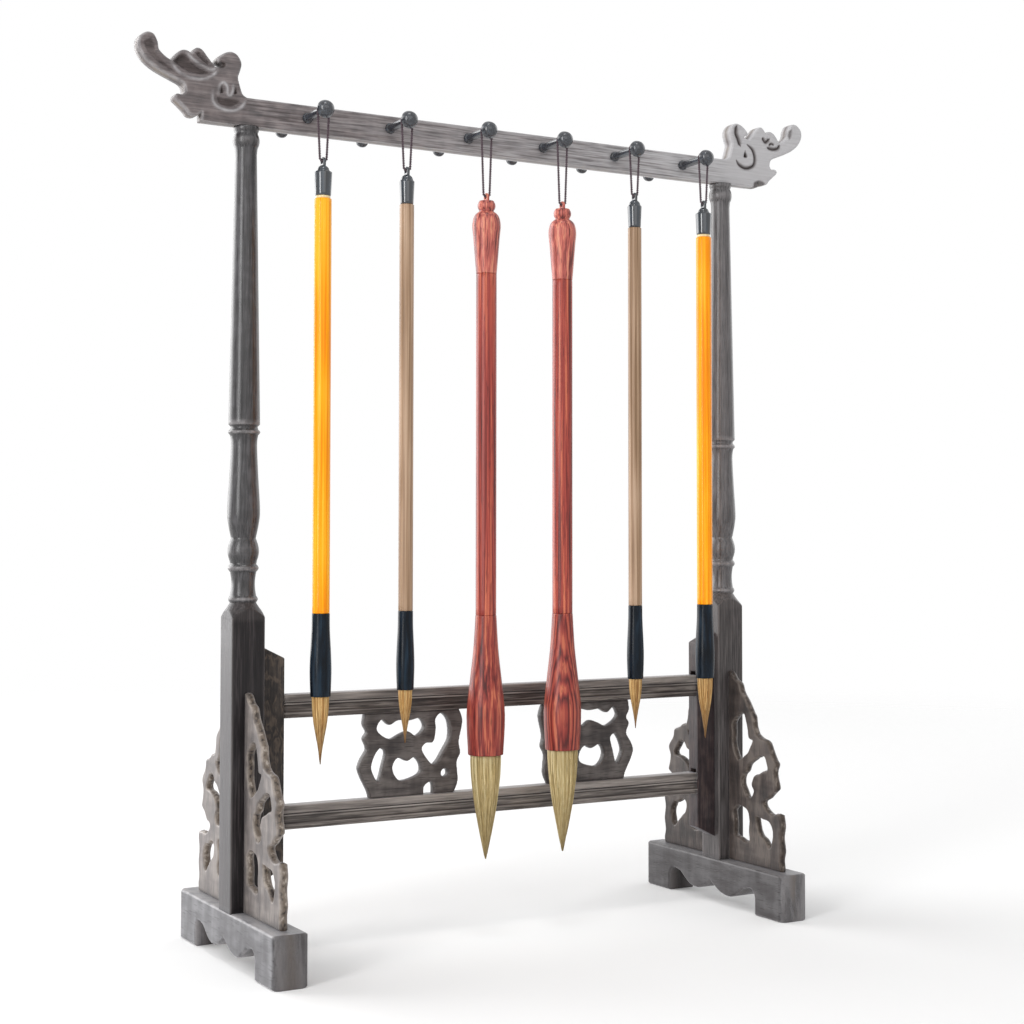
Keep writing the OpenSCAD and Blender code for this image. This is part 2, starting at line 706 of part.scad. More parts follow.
// Heights below the eye of the joints in a cane brush
dome_z = -eye_out_r;
cap_z = dome_z - dome_h;
function handle_z(i) =
    kinds[i - 1] == "red" ? dome_z - finial_h
    : cap_z - cap_h - (kinds[i - 1] == "orange" ? collar_h : 0);
function handle_l(i) =
    kinds[i - 1] == "red" ? shaft_l : kinds[i - 1] == "orange" ? orange_handle_l : taupe_handle_l;
function handle_d(i) =
    kinds[i - 1] == "red" ? shaft_d : kinds[i - 1] == "orange" ? orange_handle_d : taupe_handle_d;
function ferrule_h(i) =
    kinds[i - 1] == "red" ? bell_h : kinds[i - 1] == "orange" ? orange_ferrule_h : taupe_ferrule_h;
function ferrule_d(i) = kinds[i - 1] == "orange" ? orange_ferrule_d : taupe_ferrule_d;
function mouth_d(i) = kinds[i - 1] == "red" ? bell_mouth_d : ferrule_d(i) - ferrule_close;
function mouth_z(i) = handle_z(i) - handle_l(i) - ferrule_h(i);
function tuft_l(i) =
    kinds[i - 1] == "red" ? bell_tuft_l : kinds[i - 1] == "orange" ? orange_tuft_l : taupe_tuft_l;

// Cap: horn thimble under a small dome that carries the eye
module cap(i) {
    r = (kinds[i - 1] == "orange" ? orange_cap_d : taupe_cap_d) / 2;
    end_r = handle_d(i) / 2 - edge;
    end_z = cap_z - cap_h;
    color("#2b3a44")
        hung(i)
            union() {
                eye(eye_out_r + eye_root);
                difference() {
                    turn(concat(
                        [[0, end_z], [end_r - edge, end_z], [end_r, end_z + 2 * edge], [r, cap_z - 3 * edge]],
                        [[r, cap_z - edge], [r - edge, cap_z]],
                        [for (a = [0:15:90]) [dome_d / 2 * cos(a), cap_z + dome_h * sin(a)]]
                    ));
                    socket(end_z);
                }
            }
}
// Collar: pale ring on the dowel between cap and handle
module collar(i) {
    r = handle_d(i) / 2 - 2 * edge;
    color("#f2dfb0")
        hung(i)
            translate([0, 0, handle_z(i)])
                difference() {
                    cylinder(r = r, h = collar_h);
                    socket(0);
                }
}
// Finial: knob, neck and swell turned on the end of a rosewood brush
module finial(i) {
    z = dome_z - finial_h;
    neck_r = finial_knob_d * 0.4;
    end_r = shaft_d / 2;
    swell_r = finial_d / 2;
    knob_z = dome_z - finial_knob_h;
    color("#a04a40")
        hung(i)
            union() {
                eye(eye_out_r + eye_root);
                difference() {
                    turn(concat(
                        [[0, z]],
                        open_curve([[end_r, z], [end_r * 1.15, z + finial_h * 0.25],
                            [swell_r * 0.93, z + finial_h * 0.5], [swell_r, z + finial_h * 0.66],
                            [swell_r * 0.86, z + finial_h * 0.785], [neck_r, knob_z]]),
                        turned(knob_z + edge, finial_knob_h - 2 * edge, neck_r, finial_knob_d / 2 - neck_r),
                        [[0, dome_z]]
                    ));
                    socket(z);
                }
            }
}
// Handle: plain round shaft with a dowel at each end
module handle(i) {
    r = handle_d(i) / 2;
    z = handle_z(i);
    low_z = z - handle_l(i);
    up_l = dowel_l + (kinds[i - 1] == "orange" ? collar_h : 0);
    color(kinds[i - 1] == "red" ? "#a04a40" : kinds[i - 1] == "orange" ? "#ffa21e" : "#a08a72")
        hung(i)
            turn([
                [0, low_z - dowel_l], [dowel_d / 2, low_z - dowel_l], [dowel_d / 2, low_z],
                [r - edge, low_z], [r, low_z + edge], [r, z - edge], [r - edge, z],
                [dowel_d / 2, z], [dowel_d / 2, z + up_l], [0, z + up_l]
            ]);
}
// Hollow turned end piece that holds the dowel above and the hair below.
// Its flare is drawn as shares of its length and of its growth from the handle to its widest part.
module hair_holder(i, flare, widest_d) {
    z = handle_z(i) - handle_l(i);
    top_r = handle_d(i) / 2 + fit;
    outline = [for (f = flare) [top_r + (widest_d / 2 - top_r) * f[1] / 100, z - ferrule_h(i) * f[0] / 100]];
    difference() {
        turn(concat(
            [[0, z]],
            open_curve(concat(outline, [[mouth_d(i) / 2, mouth_z(i)]])),
            [[0, mouth_z(i)]]
        ));
        socket(z);
        translate([0, 0, mouth_z(i) - over])
            cylinder(d = mouth_d(i) - 2 * mouth_wall, h = mouth_h + over);
    }
}
// Ferrule: horn socket of a cane brush, swelling toward the hair
ferrule_flare = [[0, 0], [20, 10], [50, 77], [72, 100]];
module ferrule(i) {
    color("#1c2a35")
        hung(i)
            hair_holder(i, ferrule_flare, ferrule_d(i));
}
// Bell: long flared socket of a rosewood brush
bell_flare = [[0, 0], [25, 24], [50, 68], [72, 100]];
module bell(i) {
    color("#a8433a")
        hung(i)
            hair_holder(i, bell_flare, bell_d);
}

// Tuft: strands on a triangular lattice that all close in on the tip by the same law, so that none cross
hair_law = [[0, 1], [0.35, 0.9], [0.7, 0.56], [1, 0.1]];
strand_fill = 0.9;
// Outer strands may fall short of the tip by up to this share of their length
ragged = 0.2;
function strand_spots(r, pitch) =
    let (n = ceil(r / pitch) + 1, room = r - pitch * strand_fill / sqrt(3))
    [for (i = [-n:n], j = [-n:n])
        let (spot = pitch * [i + j / 2 - 0.25, j * sqrt(3) / 2])
        if (norm(spot) < room) spot];
module strand(spot, end, pitch, l) {
    levels = [hair_law[0][0], hair_law[1][0], hair_law[2][0], end];
    thick = pitch * strand_fill / sqrt(3);
    points = [for (t = levels, c = [0:2])
        let (flat = lookup(t, hair_law) * (spot + thick * [cos(120 * c + 90), sin(120 * c + 90)]))
        [flat.x, flat.y, slice_h / 2 - t * (l + slice_h / 2)]];
    last = 3 * (len(levels) - 1);
    sides = [for (j = [0:3:last - 3], c = [0:2])
        let (a = j + c, b = j + (c + 1) % 3)
        each [[a, b + 3, a + 3], [a, b, b + 3]]];
    polyhedron(points, concat([[0, 2, 1]], sides, [[last, last + 1, last + 2]]));
}
module tuft(i) {
    pitch = kinds[i - 1] == "red" ? large_hair_pitch : small_hair_pitch;
    r = mouth_d(i) / 2 - mouth_wall - fit;
    spots = strand_spots(r, pitch);
    hair_l = tuft_l(i) + mouth_h - slice_h;
    echo(str("tuft ", i, " has ", len(spots), " strands"));
    color("#b0873f")
        hung(i)
            translate([0, 0, mouth_z(i) + mouth_h - slice_h])
                union() {
                    cylinder(r = r, h = slice_h);
                    for (k = [0:len(spots) - 1])
                        strand(spots[k], 1 - ragged * norm(spots[k]) / r * (k * 7 % 5) / 4, pitch, hair_l);
                }
}

beam();
rail(upper_rail_z, upper_rail_z);  // upper_rail
rail(lower_rail_z, lower_rail_z + rail_h);  // lower_rail
for (s = sides) {
    foot(s);
    post(s);
    stile(s);
    panel(s);
    for (e = ends)
        bracket(s, e);
}
for (e = ends, i = [1:peg_count])
    peg(e, i);
for (i = [1:peg_count]) {
    loop(i);
    handle(i);
    tuft(i);
    if (kinds[i - 1] == "red") {
        finial(i);
        bell(i);
    } else {
        cap(i);
        ferrule(i);
    }
    if (kinds[i - 1] == "orange")
        collar(i);
}
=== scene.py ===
import json
import math

import bmesh
import bpy
import numpy as np
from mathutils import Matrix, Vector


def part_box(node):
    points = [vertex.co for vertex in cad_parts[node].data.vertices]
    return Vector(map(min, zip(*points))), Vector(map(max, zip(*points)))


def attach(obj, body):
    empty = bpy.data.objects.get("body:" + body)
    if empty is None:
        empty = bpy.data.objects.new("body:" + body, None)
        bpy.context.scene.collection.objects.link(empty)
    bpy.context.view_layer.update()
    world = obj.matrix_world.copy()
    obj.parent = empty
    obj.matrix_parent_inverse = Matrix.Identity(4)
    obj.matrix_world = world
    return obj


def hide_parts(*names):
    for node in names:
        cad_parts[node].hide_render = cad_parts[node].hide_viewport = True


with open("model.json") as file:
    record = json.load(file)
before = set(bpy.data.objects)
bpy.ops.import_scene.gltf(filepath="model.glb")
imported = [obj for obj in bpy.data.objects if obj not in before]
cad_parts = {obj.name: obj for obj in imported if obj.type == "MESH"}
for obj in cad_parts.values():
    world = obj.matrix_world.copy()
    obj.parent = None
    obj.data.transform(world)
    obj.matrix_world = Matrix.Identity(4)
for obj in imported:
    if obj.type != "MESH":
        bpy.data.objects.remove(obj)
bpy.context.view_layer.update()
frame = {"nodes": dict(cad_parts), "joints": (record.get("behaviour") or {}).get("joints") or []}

mm = 0.001  # sizes below are in millimetres, meshes are in metres
rng = np.random.default_rng(20)


def addObject(name, data):
    made = bpy.data.objects.new(name, data)
    bpy.context.scene.collection.objects.link(made)
    return made


# the photograph's viewpoint, fitted to the rack's straight edges
viewpoint = {"place": (-433.3, -795.3, 195.7), "yaw": 0.529, "pitch": 0.0408, "focalPixels": 1799.4,
             "middlePixels": (554.9, 461.8), "imagePixels": 1024, "sensor": 36.0}


def makeCamera():
    v = viewpoint
    data = bpy.data.cameras.new("camera")
    data.sensor_width = v["sensor"]
    data.lens = v["focalPixels"] / v["imagePixels"] * v["sensor"]
    data.shift_x = 0.5 - v["middlePixels"][0] / v["imagePixels"]  # the photo is framed a little off
    data.shift_y = v["middlePixels"][1] / v["imagePixels"] - 0.5  # the middle of its lens
    camera = addObject("camera", data)
    camera.location = np.array(v["place"]) * mm
    camera.rotation_euler = (math.pi / 2 + v["pitch"], 0, -v["yaw"])
    bpy.context.scene.camera = camera


makeCamera()


# materials
def linearColour(hexCode):
    srgb = np.array([int(hexCode[i:i + 2], 16) for i in (1, 3, 5)]) / 255
    linear = np.where(srgb <= 0.04045, srgb / 12.92, ((srgb + 0.055) / 1.055) ** 2.4)
    return (*linear, 1.0)


def addNode(tree, kind, inputs=(), stops=(), out=None, **settings):
    # inputs in order, or by socket name or number: sockets are linked, numbers and hex codes are set; gives one output
    node = tree.nodes.new("ShaderNode" + kind)
    for name, value in settings.items():
        setattr(node, name, value)
    for place, _ in stops[2:]:
        node.color_ramp.elements.new(place)
    for element, (place, hexCode) in zip(node.color_ramp.elements if stops else [], stops):
        element.position = place
        element.color = linearColour(hexCode)
    for socket, value in inputs.items() if isinstance(inputs, dict) else enumerate(inputs):
        if isinstance(value, bpy.types.NodeSocket):
            tree.links.new(value, node.inputs[socket])
        else:
            node.inputs[socket].default_value = linearColour(value) if isinstance(value, str) else value
    return node.outputs[out] if out else next(socket for socket in node.outputs if socket.enabled)


flatSpread = 5  # how far patterns are drawn out along the axis in which the growth layers lie flat


def startMaterial(name, fixed, layers=None, grain="z", flat=""):
    # fixed: the shader's constant sockets; layers: noise patterns by size along and across the grain, and detail
    material = bpy.data.materials.new(name)
    material.use_nodes = True
    tree = material.node_tree
    for socket, value in fixed.items():
        value = linearColour(value) if isinstance(value, str) else value
        tree.nodes["Principled BSDF"].inputs[socket].default_value = value
    place = addNode(tree, "TexCoord", out="Object")
    patterns = {}
    for label, (along, across, detail) in (layers or {}).items():
        wide = across if label in ("pores", "chips") else flatSpread * across
        scale = [1 / (mm * {grain: along, flat: wide}.get(axis, across)) for axis in "xyz"]
        cells = addNode(tree, "Mapping", {"Vector": place, "Scale": scale})
        patterns[label] = addNode(tree, "TexNoise", {"Vector": cells, "Scale": 1.0, "Detail": detail})
    return material, tree, place, patterns


def finishMaterial(material, outputs):
    tree = material.node_tree
    for socket, output in outputs.items():
        tree.links.new(output, tree.nodes["Principled BSDF"].inputs[socket])
    return material


# wenge: dark open-grained hardwood, planed and waxed, so the eye gets pale and dark streaks along the grain,
# short black pores, a soft grey sheen, and paler wood where edges are rubbed and where saw cuts were left raw.
# Fibres and pores are about twice as coarse as real ones, to show.
# Each mark has the pattern that breaks it up, two values of that pattern, and the mark's strength at these two
wenge = {"layers": {"fibre": (18, 0.8, 3.0), "bands": (110, 4.5, 2.0), "pores": (8, 0.6, 1.0)},
         "fixed": {"Specular IOR Level": 0.22, "Sheen Weight": 0.3, "Sheen Roughness": 0.45, "Sheen Tint": "#dcdce2"},
         "tone": {"bands": 0.24, "fibre": 0.44, "patch": 0.32}, "pore": "#171415", "poreShade": 0.5,
         "poreDepth": 0.08, "grimeAndShade": "#211814",
         "marks": {"wear": ("patch", 0.36, 0.62, 0.25, 0.9), "cut": ("patch", 0.44, 0.62, 0.05, 0.9),
                   "pale": ("fibre", 0.35, 0.65, 0.5, 1.4), "grimeAndShade": ("patch", 0, 1, 1, 1)},
         "chippedCut": ("patch", 0, 1, 0.95, 0.95)}


def wengeWood(name, dark, middle, light, grain, flat="", rubbed="#9a9089", raw="#7c684c", figure=None,
              polish=None, rough=(0.28, 0.44), patch=(6, 5, 2.0), bumps=0.5, chips=None):
    layers, marks = {**wenge["layers"], "patch": patch}, {**wenge["marks"]}
    if chips:
        layers["chips"], marks["cut"] = chips, wenge["chippedCut"]
    material, tree, place, pattern = startMaterial(name, {**wenge["fixed"], **(polish or {})}, layers, grain, flat)
    dull = addNode(tree, "MapRange", [pattern["fibre"], 0.3, 0.7, *rough])
    calm = addNode(tree, "Attribute", attribute_name="calm", out="Fac")  # carved faces show less of the grain
    pattern["fibre"] = addNode(tree, "Mix", {0: calm, 2: pattern["fibre"], 3: 0.5})
    tone = 0.0
    for label, share in wenge["tone"].items():
        tone = addNode(tree, "Math", [pattern[label], share, tone], operation="MULTIPLY_ADD")
    colour = addNode(tree, "ValToRGB", [tone], [(0.41, dark), (0.5, middle), (0.59, light)])
    if figure:  # curled growth lines across the board
        size = [1 / (mm * figure["size"] * stretch) for stretch in (1, 1, figure["stretch"])]
        cells = addNode(tree, "Mapping", {"Vector": place, "Scale": size})
        curl = addNode(tree, "TexNoise", {"Vector": cells, "Scale": 1.0, "Detail": 3.0, "Distortion": figure["curl"]})
        lines = addNode(tree, "MapRange", [curl, 0.46, 0.62, 0.0, 0.55])
        colour = addNode(tree, "Mix", {0: lines, 6: colour, 7: figure["line"]}, data_type="RGBA")
    pores = addNode(tree, "MapRange", [pattern["pores"], 0.58, 0.68])
    dots = addNode(tree, "Math", [pores, wenge["poreShade"]], operation="MULTIPLY")
    colour = addNode(tree, "Mix", {0: dots, 6: colour, 7: wenge["pore"]}, data_type="RGBA")
    if chips:  # knifed cuts are mottled by small chips, some of them rubbed pale and some dark with dirt
        raw = addNode(tree, "ValToRGB", [pattern["chips"]],
                      [(0.36, wenge["grimeAndShade"]), (0.47, raw), (0.54, raw), (0.66, rubbed)])
    # the pale mark is painted sheen in the rubbed colour; the last, dark mark is painted shade, with some dirt
    for mark, tint in {"wear": rubbed, "cut": raw, "pale": rubbed, "grimeAndShade": wenge["grimeAndShade"]}.items():
        label, *span = marks[mark]
        amount = addNode(tree, "Attribute", attribute_name=mark, out="Fac")
        broken = addNode(tree, "MapRange", [pattern[label], *span])
        amount = addNode(tree, "Math", [amount, broken], operation="MULTIPLY", use_clamp=True)
        colour = addNode(tree, "Mix", {0: amount, 6: colour, 7: tint}, data_type="RGBA")
    height = addNode(tree, "Math", [pores, -1.0, pattern["fibre"]], operation="MULTIPLY_ADD")
    bump = addNode(tree, "Bump", {"Height": height, "Strength": bumps, "Distance": wenge["poreDepth"] * mm})
    return finishMaterial(material, {"Base Color": colour, "Roughness": dull, "Normal": bump})


bracketChips = (3.0, 2.2, 3.0)  # size along and across the grain, and detail
wood = {
    "beam": wengeWood("wenge_beam", "#433a39", "#5d5251", "#776c6a", "x", rubbed="#c0bfc1", raw="#6f6457",
                      polish={"Specular IOR Level": 0.12, "Sheen Weight": 0.15}, bumps=0.2),
    "rail": wengeWood("wenge_rail", "#302b29", "#554e4a", "#7f7771", "x", rubbed="#aea6a0", patch=(45, 2.5, 3.0)),
    "panel": wengeWood("wenge_panel", "#3b3635", "#4f4947", "#655f5c", "x", "z", rubbed="#6f6866", raw="#38302c"),
    "post": wengeWood("wenge_post", "#141112", "#201c1d", "#393435", "z", rubbed="#807a78", patch=(60, 4, 2.0)),
    "turned": wengeWood("wenge_turned", "#0d0c0e", "#1e1d1f", "#3c3b3e", "z", rubbed="#8a8687",
                        polish={"Specular IOR Level": 0.5, "Sheen Weight": 0.0}, rough=(0.23, 0.35), bumps=0.15),
    "leftStile": wengeWood("wenge_curled", "#1e1a19", "#2a2523", "#3d3631", "z",
                           figure={"size": 2.6, "stretch": 2.4, "curl": 1.2, "line": "#62554a"}),
    "rightStile": wengeWood("wenge_plum", "#241d1e", "#322829", "#443836", "z"),
    "bracket": wengeWood("wenge_bracket", "#554e4b", "#6e6662", "#88807a", "z", "y", rubbed="#afa59b",
                         raw="#6c6054", chips=bracketChips),
    # the right brackets get a darker copy of the bracket wood, as painted shade
    "shadedBracket": wengeWood("wenge_bracket_shaded", "#2f2926", "#463d39", "#5e554f", "z", "y", rubbed="#7d736b",
                             raw="#42372f", chips=bracketChips),
    "foot": wengeWood("wenge_foot", "#4c4a4c", "#605f61", "#767577", "y", "z", rubbed="#959293", raw="#6b6460"),
}

# rosewood: turned and polished, with dark and orange streaks along the grain. A swell that is turned through
# flat growth layers shows them as nested flames
rosewood = {"layers": {"streak": (60, 0.8, 3.0), "veins": (90, 1.9, 2.0), "pores": (9, 0.5, 1.0)},
            "fixed": {"Roughness": 0.36, "Specular IOR Level": 0.35}, "pore": "#42181a", "poreDepth": 0.05}


def rosewoodFrom(name, stops, flame=None):
    # flame: which way the growth layers face, how thick they are, and how far the veins bend them
    material, tree, place, pattern = startMaterial(name, rosewood["fixed"], rosewood["layers"])
    shade = 0.0
    for label in ("streak", "veins"):
        shade = addNode(tree, "Math", [pattern[label], 0.5, shade], operation="MULTIPLY_ADD")
    if flame:
        across = [c / (flame["layer"] * mm) for c in flame["across"]]
        layers = addNode(tree, "VectorMath", [place, across], operation="DOT_PRODUCT", out="Value")
        layers = addNode(tree, "Math", [pattern["veins"], flame["wobble"], layers], operation="MULTIPLY_ADD")
        saw = addNode(tree, "Math", [layers, 0.5], operation="PINGPONG")
        lines = addNode(tree, "MapRange", [saw, 0.16, 0.5, 0.0, 0.16])
        shade = addNode(tree, "Math", [shade, 0.5, 0.19], operation="MULTIPLY_ADD")
        shade = addNode(tree, "Math", [shade, lines])
    colour = addNode(tree, "ValToRGB", [shade], stops)
    pores = addNode(tree, "MapRange", [pattern["pores"], 0.6, 0.68, 0.0, 0.5])
    colour = addNode(tree, "Mix", {0: pores, 6: colour, 7: rosewood["pore"]}, data_type="RGBA")
    height = addNode(tree, "Math", [1.0, pores], operation="SUBTRACT")
    bump = addNode(tree, "Bump", {"Height": height, "Strength": 0.3, "Distance": rosewood["poreDepth"] * mm})
    return finishMaterial(material, {"Base Color": colour, "Normal": bump})


deepTones = [(0.38, "#bd684c"), (0.46, "#9a4135"), (0.53, "#7c2c27"), (0.63, "#461614")]
streakedWood = rosewoodFrom("rosewood_streaked",
                            [(0.38, "#c86f51"), (0.46, "#a6473a"), (0.53, "#89332c"), (0.63, "#511b19")])
sapWood = rosewoodFrom("rosewood_pale", [(0.39, "#d68b70"), (0.46, "#c0685b"), (0.53, "#a2514a"), (0.62, "#5e2a27")])
deepWood = rosewoodFrom("rosewood_deep", deepTones)
flamedWood = rosewoodFrom("rosewood_flamed", deepTones,
                          {"across": (-0.51, -0.86, -0.004), "layer": 1.25, "wobble": 1.3})


def streaked(name, fixed, stops, layers, weights=(1.0,), grain="z", rough=None, bump=None):
    # colour stops over the layers' weighted sum. The first layer also varies the roughness and raises the surface
    material, tree, _, pattern = startMaterial(name, fixed, layers, grain)
    first = next(iter(pattern.values()))
    tone = 0.0
    for layer, weight in zip(pattern.values(), weights):
        tone = addNode(tree, "Math", [layer, weight, tone], operation="MULTIPLY_ADD")
    outputs = {"Base Color": addNode(tree, "ValToRGB", [tone], stops)}
    if rough:
        outputs["Roughness"] = addNode(tree, "MapRange", [first, 0.3, 0.7, *rough])
    if bump:
        strength, depth = bump
        outputs["Normal"] = addNode(tree, "Bump", {"Height": first, "Strength": strength, "Distance": depth * mm})
    return finishMaterial(material, outputs)


# lacquered cane: clear lacquer over straight fibres, so pale streaks run down a glossy shaft.
# The streaks are a little wider than cane fibres, to show
cane = {"layers": {"fibre": (110, 1.0, 3.0), "blotch": (50, 12, 1.0)}, "weights": (0.7, 0.3), "bump": (0.15, 0.05)}
orangeCane = streaked("orange_lacquered_cane",
                      {"Roughness": 0.36, "Specular IOR Level": 0.2, "Coat Weight": 0.08, "Coat Roughness": 0.1},
                      [(0.4, "#ee8600"), (0.5, "#ffa200"), (0.6, "#ffb82c")], **cane)
taupeCane = streaked("taupe_smoked_cane", {"Roughness": 0.42, "Specular IOR Level": 0.35},
                     [(0.4, "#7b6046"), (0.5, "#997c62"), (0.6, "#b4987f")], **cane)

# buffalo horn: dense and polished, blue-black with faint cloudy streaks under the shine
cloudy = {"stops": [(0.36, "#060c13"), (0.53, "#0b1722"), (0.7, "#1a2b39")], "layers": {"cloud": (16, 2.0, 3.0)}}
horn = streaked("buffalo_horn", {"IOR": 1.54, "Specular IOR Level": 0.16}, rough=(0.2, 0.36), **cloudy)
brightHorn = streaked("polished_buffalo_horn", {"IOR": 1.54, "Specular IOR Level": 0.9}, rough=(0.1, 0.2), **cloudy)

# bone: polished, warm and pale with fine darker flecks
bone = streaked("polished_bone", {"Roughness": 0.32}, [(0.35, "#dcc38c"), (0.6, "#f2dfb0")], {"fleck": (3, 0.6, 2.0)})

# ebony: turned and oiled, near black, with faint grey grain that runs out along the peg
ebony = streaked("oiled_ebony", {"Specular IOR Level": 0.85}, [(0.35, "#14161d"), (0.53, "#21252d"), (0.68, "#394049")],
                 {"fibre": (14, 0.8, 3.0)}, grain="y", rough=(0.18, 0.34))

# cotton cord: two waxed plies laid together, dull, with a fine fuzz of fibres
cotton = streaked("waxed_cotton_cord", {"Roughness": 0.7}, [(0.35, "#382b31"), (0.65, "#62525a")],
                  {"fibre": (1.2, 0.35, 2.0)}, bump=(0.4, 0.08))


# brush hair: fine tapered strands, each of its own tone, darker toward the tip
def brushHair(name, stops, tip):
    material, tree, _, pattern = startMaterial(name, {"Roughness": 0.5}, {"fleck": (14, 0.5, 2.0)})
    tone, reach = (addNode(tree, "Attribute", attribute_name=label, out="Fac") for label in ("tone", "reach"))
    tone = addNode(tree, "Math", [pattern["fleck"], 0.7, tone], operation="MULTIPLY_ADD")
    colour = addNode(tree, "ValToRGB", [tone], stops)
    share = addNode(tree, "MapRange", [reach, 0.3, 1.0, 0.0, 0.8])
    colour = addNode(tree, "Mix", {0: share, 6: colour, 7: tip}, data_type="RGBA")
    return finishMaterial(material, {"Base Color": colour})


smallHair = brushHair("weasel_hair", [(0.3, "#875f30"), (0.58, "#bd8f50"), (0.86, "#e5c88d")], "#6a4224")
largeHair = brushHair("goat_and_wolf_hair", [(0.3, "#937f50"), (0.58, "#c3ab76"), (0.86, "#e6d8ab")], "#957f52")
print("materials made:", len(bpy.data.materials))


# surfaces: points in millimetres, and faces as index arrays with three or four columns
def cadTriangles(node):
    mesh = frame["nodes"][node].data
    points = np.empty(len(mesh.vertices) * 3, np.float32)
    mesh.vertices.foreach_get("co", points)
    mesh.calc_loop_triangles()
    corners = np.empty(len(mesh.loop_triangles) * 3, np.int32)
    mesh.loop_triangles.foreach_get("vertices", corners)
    return (points.reshape(-1, 3)[corners] / mm).astype(float).reshape(-1, 3, 3)


def cadBounds(node):
    low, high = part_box(node)
    return np.array(low) / mm, np.array(high) / mm


def standFor(piece, node, body="rack", slot="rack_wood"):
    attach(piece, body)
    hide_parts(node)


def putPiece(node, ending, surface, material, attributes=None, **riding):
    points, faces = surface
    mesh = bpy.data.meshes.new(node + ending)
    corners = np.concatenate([f.ravel() for f in faces]).astype(np.int32)
    sides = np.concatenate([np.full(len(f), f.shape[1]) for f in faces])
    mesh.vertices.add(len(points))
    mesh.vertices.foreach_set("co", (points * mm).astype(np.float32).ravel())
    mesh.loops.add(len(corners))
    mesh.loops.foreach_set("vertex_index", corners)
    mesh.polygons.add(len(sides))
    mesh.polygons.foreach_set("loop_start", np.concatenate([[0], np.cumsum(sides)[:-1]]).astype(np.int32))
    mesh.polygons.foreach_set("use_smooth", np.ones(len(sides), bool))
    mesh.update(calc_edges=True)
    for label, values in (attributes or {}).items():
        mesh.attributes.new(label, "FLOAT", "POINT").data.foreach_set("value", np.asarray(values, np.float32))
    mesh.materials.append(material)
    piece = addObject(node + ending, mesh)
    standFor(piece, node, **riding)
    return piece


def joined(*surfaces):
    starts = np.cumsum([0] + [len(points) for points, _ in surfaces])
    faces = [f + start for (_, group), start in zip(surfaces, starts) for f in group]
    return np.vstack([points for points, _ in surfaces]), faces


def smoothCurve(points, steps=6):
    # cubic curve through the points that leaves each along the line between its neighbours
    p = np.asarray(points, float)
    before, after = np.vstack([p[:1], p[:-2]]), np.vstack([p[2:], p[-1:]])
    t = (np.arange(steps) / steps)[None, :, None]
    a, b, c, d = (q[:, None, :] for q in (before, p[:-1], p[1:], after))
    curve = 0.5 * (2 * b + (c - a) * t + (2 * a - 5 * b + 4 * c - d) * t ** 2 + (3 * b - a - 3 * c + d) * t ** 3)
    return np.vstack([curve.reshape(-1, p.shape[1]), p[-1:]])


def smoothStep(x, low, high):
    t = np.clip((x - low) / (high - low), 0, 1)
    return t * t * (3 - 2 * t)


def bellCurve(x, width):
    # 1 in the middle, falling away by the square of the distance over the width
    return np.exp(-(x / width) ** 2)


def softMin(a, b, sharpness):
    # smaller of two radii, rounded off where they cross
    return -np.log(np.exp(-sharpness * a) + np.exp(-sharpness * b)) / sharpness


def otherAxes(axis):
    return [i for i in range(3) if i != axis]


def roundAngles(count):
    return 2 * np.pi * np.arange(count) / count


def polarPoints(r, angle, z):
    return np.stack(np.broadcast_arrays(r * np.cos(angle), r * np.sin(angle), z), -1)


def ringFaces(rings, around, closed=False):
    # quads between neighbouring rings that have the same number of points
    i, j = np.meshgrid(np.arange(rings if closed else rings - 1), np.arange(around), indexing="ij")
    up, on = (i + 1) % rings, (j + 1) % around
    return np.stack([i * around + j, i * around + on, up * around + on, up * around + j], -1).reshape(-1, 4)


def closedTube(rings, lowPole, highPole):
    # rings of points from the bottom to the top, with one point that closes each end by a fan
    count, around, _ = rings.shape
    j = np.arange(around)
    on = (j + 1) % around
    last = (count - 1) * around
    low, high = np.full(around, count * around), np.full(around, count * around + 1)
    faces = [ringFaces(count, around), np.stack([on, j, low], -1), np.stack([last + j, last + on, high], -1)]
    return np.vstack([rings.reshape(-1, 3), [lowPole], [highPole]]), faces


def withPoles(values, low=0, high=0):
    # a closed tube's values: one for each point of its rings, and one for each end
    return np.append(values.ravel(), [low, high])


def turned(profile, centre, around=64):
    # lathe about an upright axis: each radius of the profile carried round at its own height
    r, z = np.asarray(profile, float).T[:, :, None]
    points, faces = closedTube(polarPoints(r, roundAngles(around), z), (0, 0, z[0, 0]), (0, 0, z[-1, 0]))
    return points + [centre[0], centre[1], 0], faces


def turnedProfile(node, axis=2, low=-np.inf, high=np.inf, fewest=20):
    # outermost radius of a turned CAD solid at each height that has a full ring of points
    points = np.unique(cadTriangles(node).reshape(-1, 3).round(3), axis=0)
    centre = sum(cadBounds(node)) / 2
    flat = otherAxes(axis)
    r, z = np.hypot(*(points[:, flat] - centre[flat]).T), points[:, axis].round(2)
    heights, count = np.unique(z, return_counts=True)
    heights = heights[(count >= fewest) & (heights > low - 0.01) & (heights < high + 0.01)]
    profile = np.array([[r[z == h].max(), h] for h in heights])
    padded = np.pad(profile[:, 0], 2, mode="edge")
    usual = np.median([padded[i:i + len(profile)] for i in range(5)], axis=0)
    return profile[profile[:, 0] > 0.7 * usual], centre  # rings inside a socket drop out


def denser(profile, step):
    # points added along the long straight stretches of a profile
    lengths = np.hypot(*np.diff(profile, axis=0).T)
    counts = np.maximum(1, np.ceil(lengths / step).astype(int))
    runs = [a + np.arange(n)[:, None] / n * (b - a) for a, b, n in zip(profile[:-1], profile[1:], counts)]
    return np.vstack(runs + [profile[-1:]])


# carved plates: an outline sawn from a board, its edges rounded over and its faces cut in relief.
# Points within the snap's share of a grid step are drawn on to the outline, and the rest are strengths of marks
carving = {"snap": 0.42, "rimCut": 0.3, "chippedRimCut": 0.6, "stain": 0.45, "wallSheen": 0.15, "wallGrimeAndShade": 0.6}


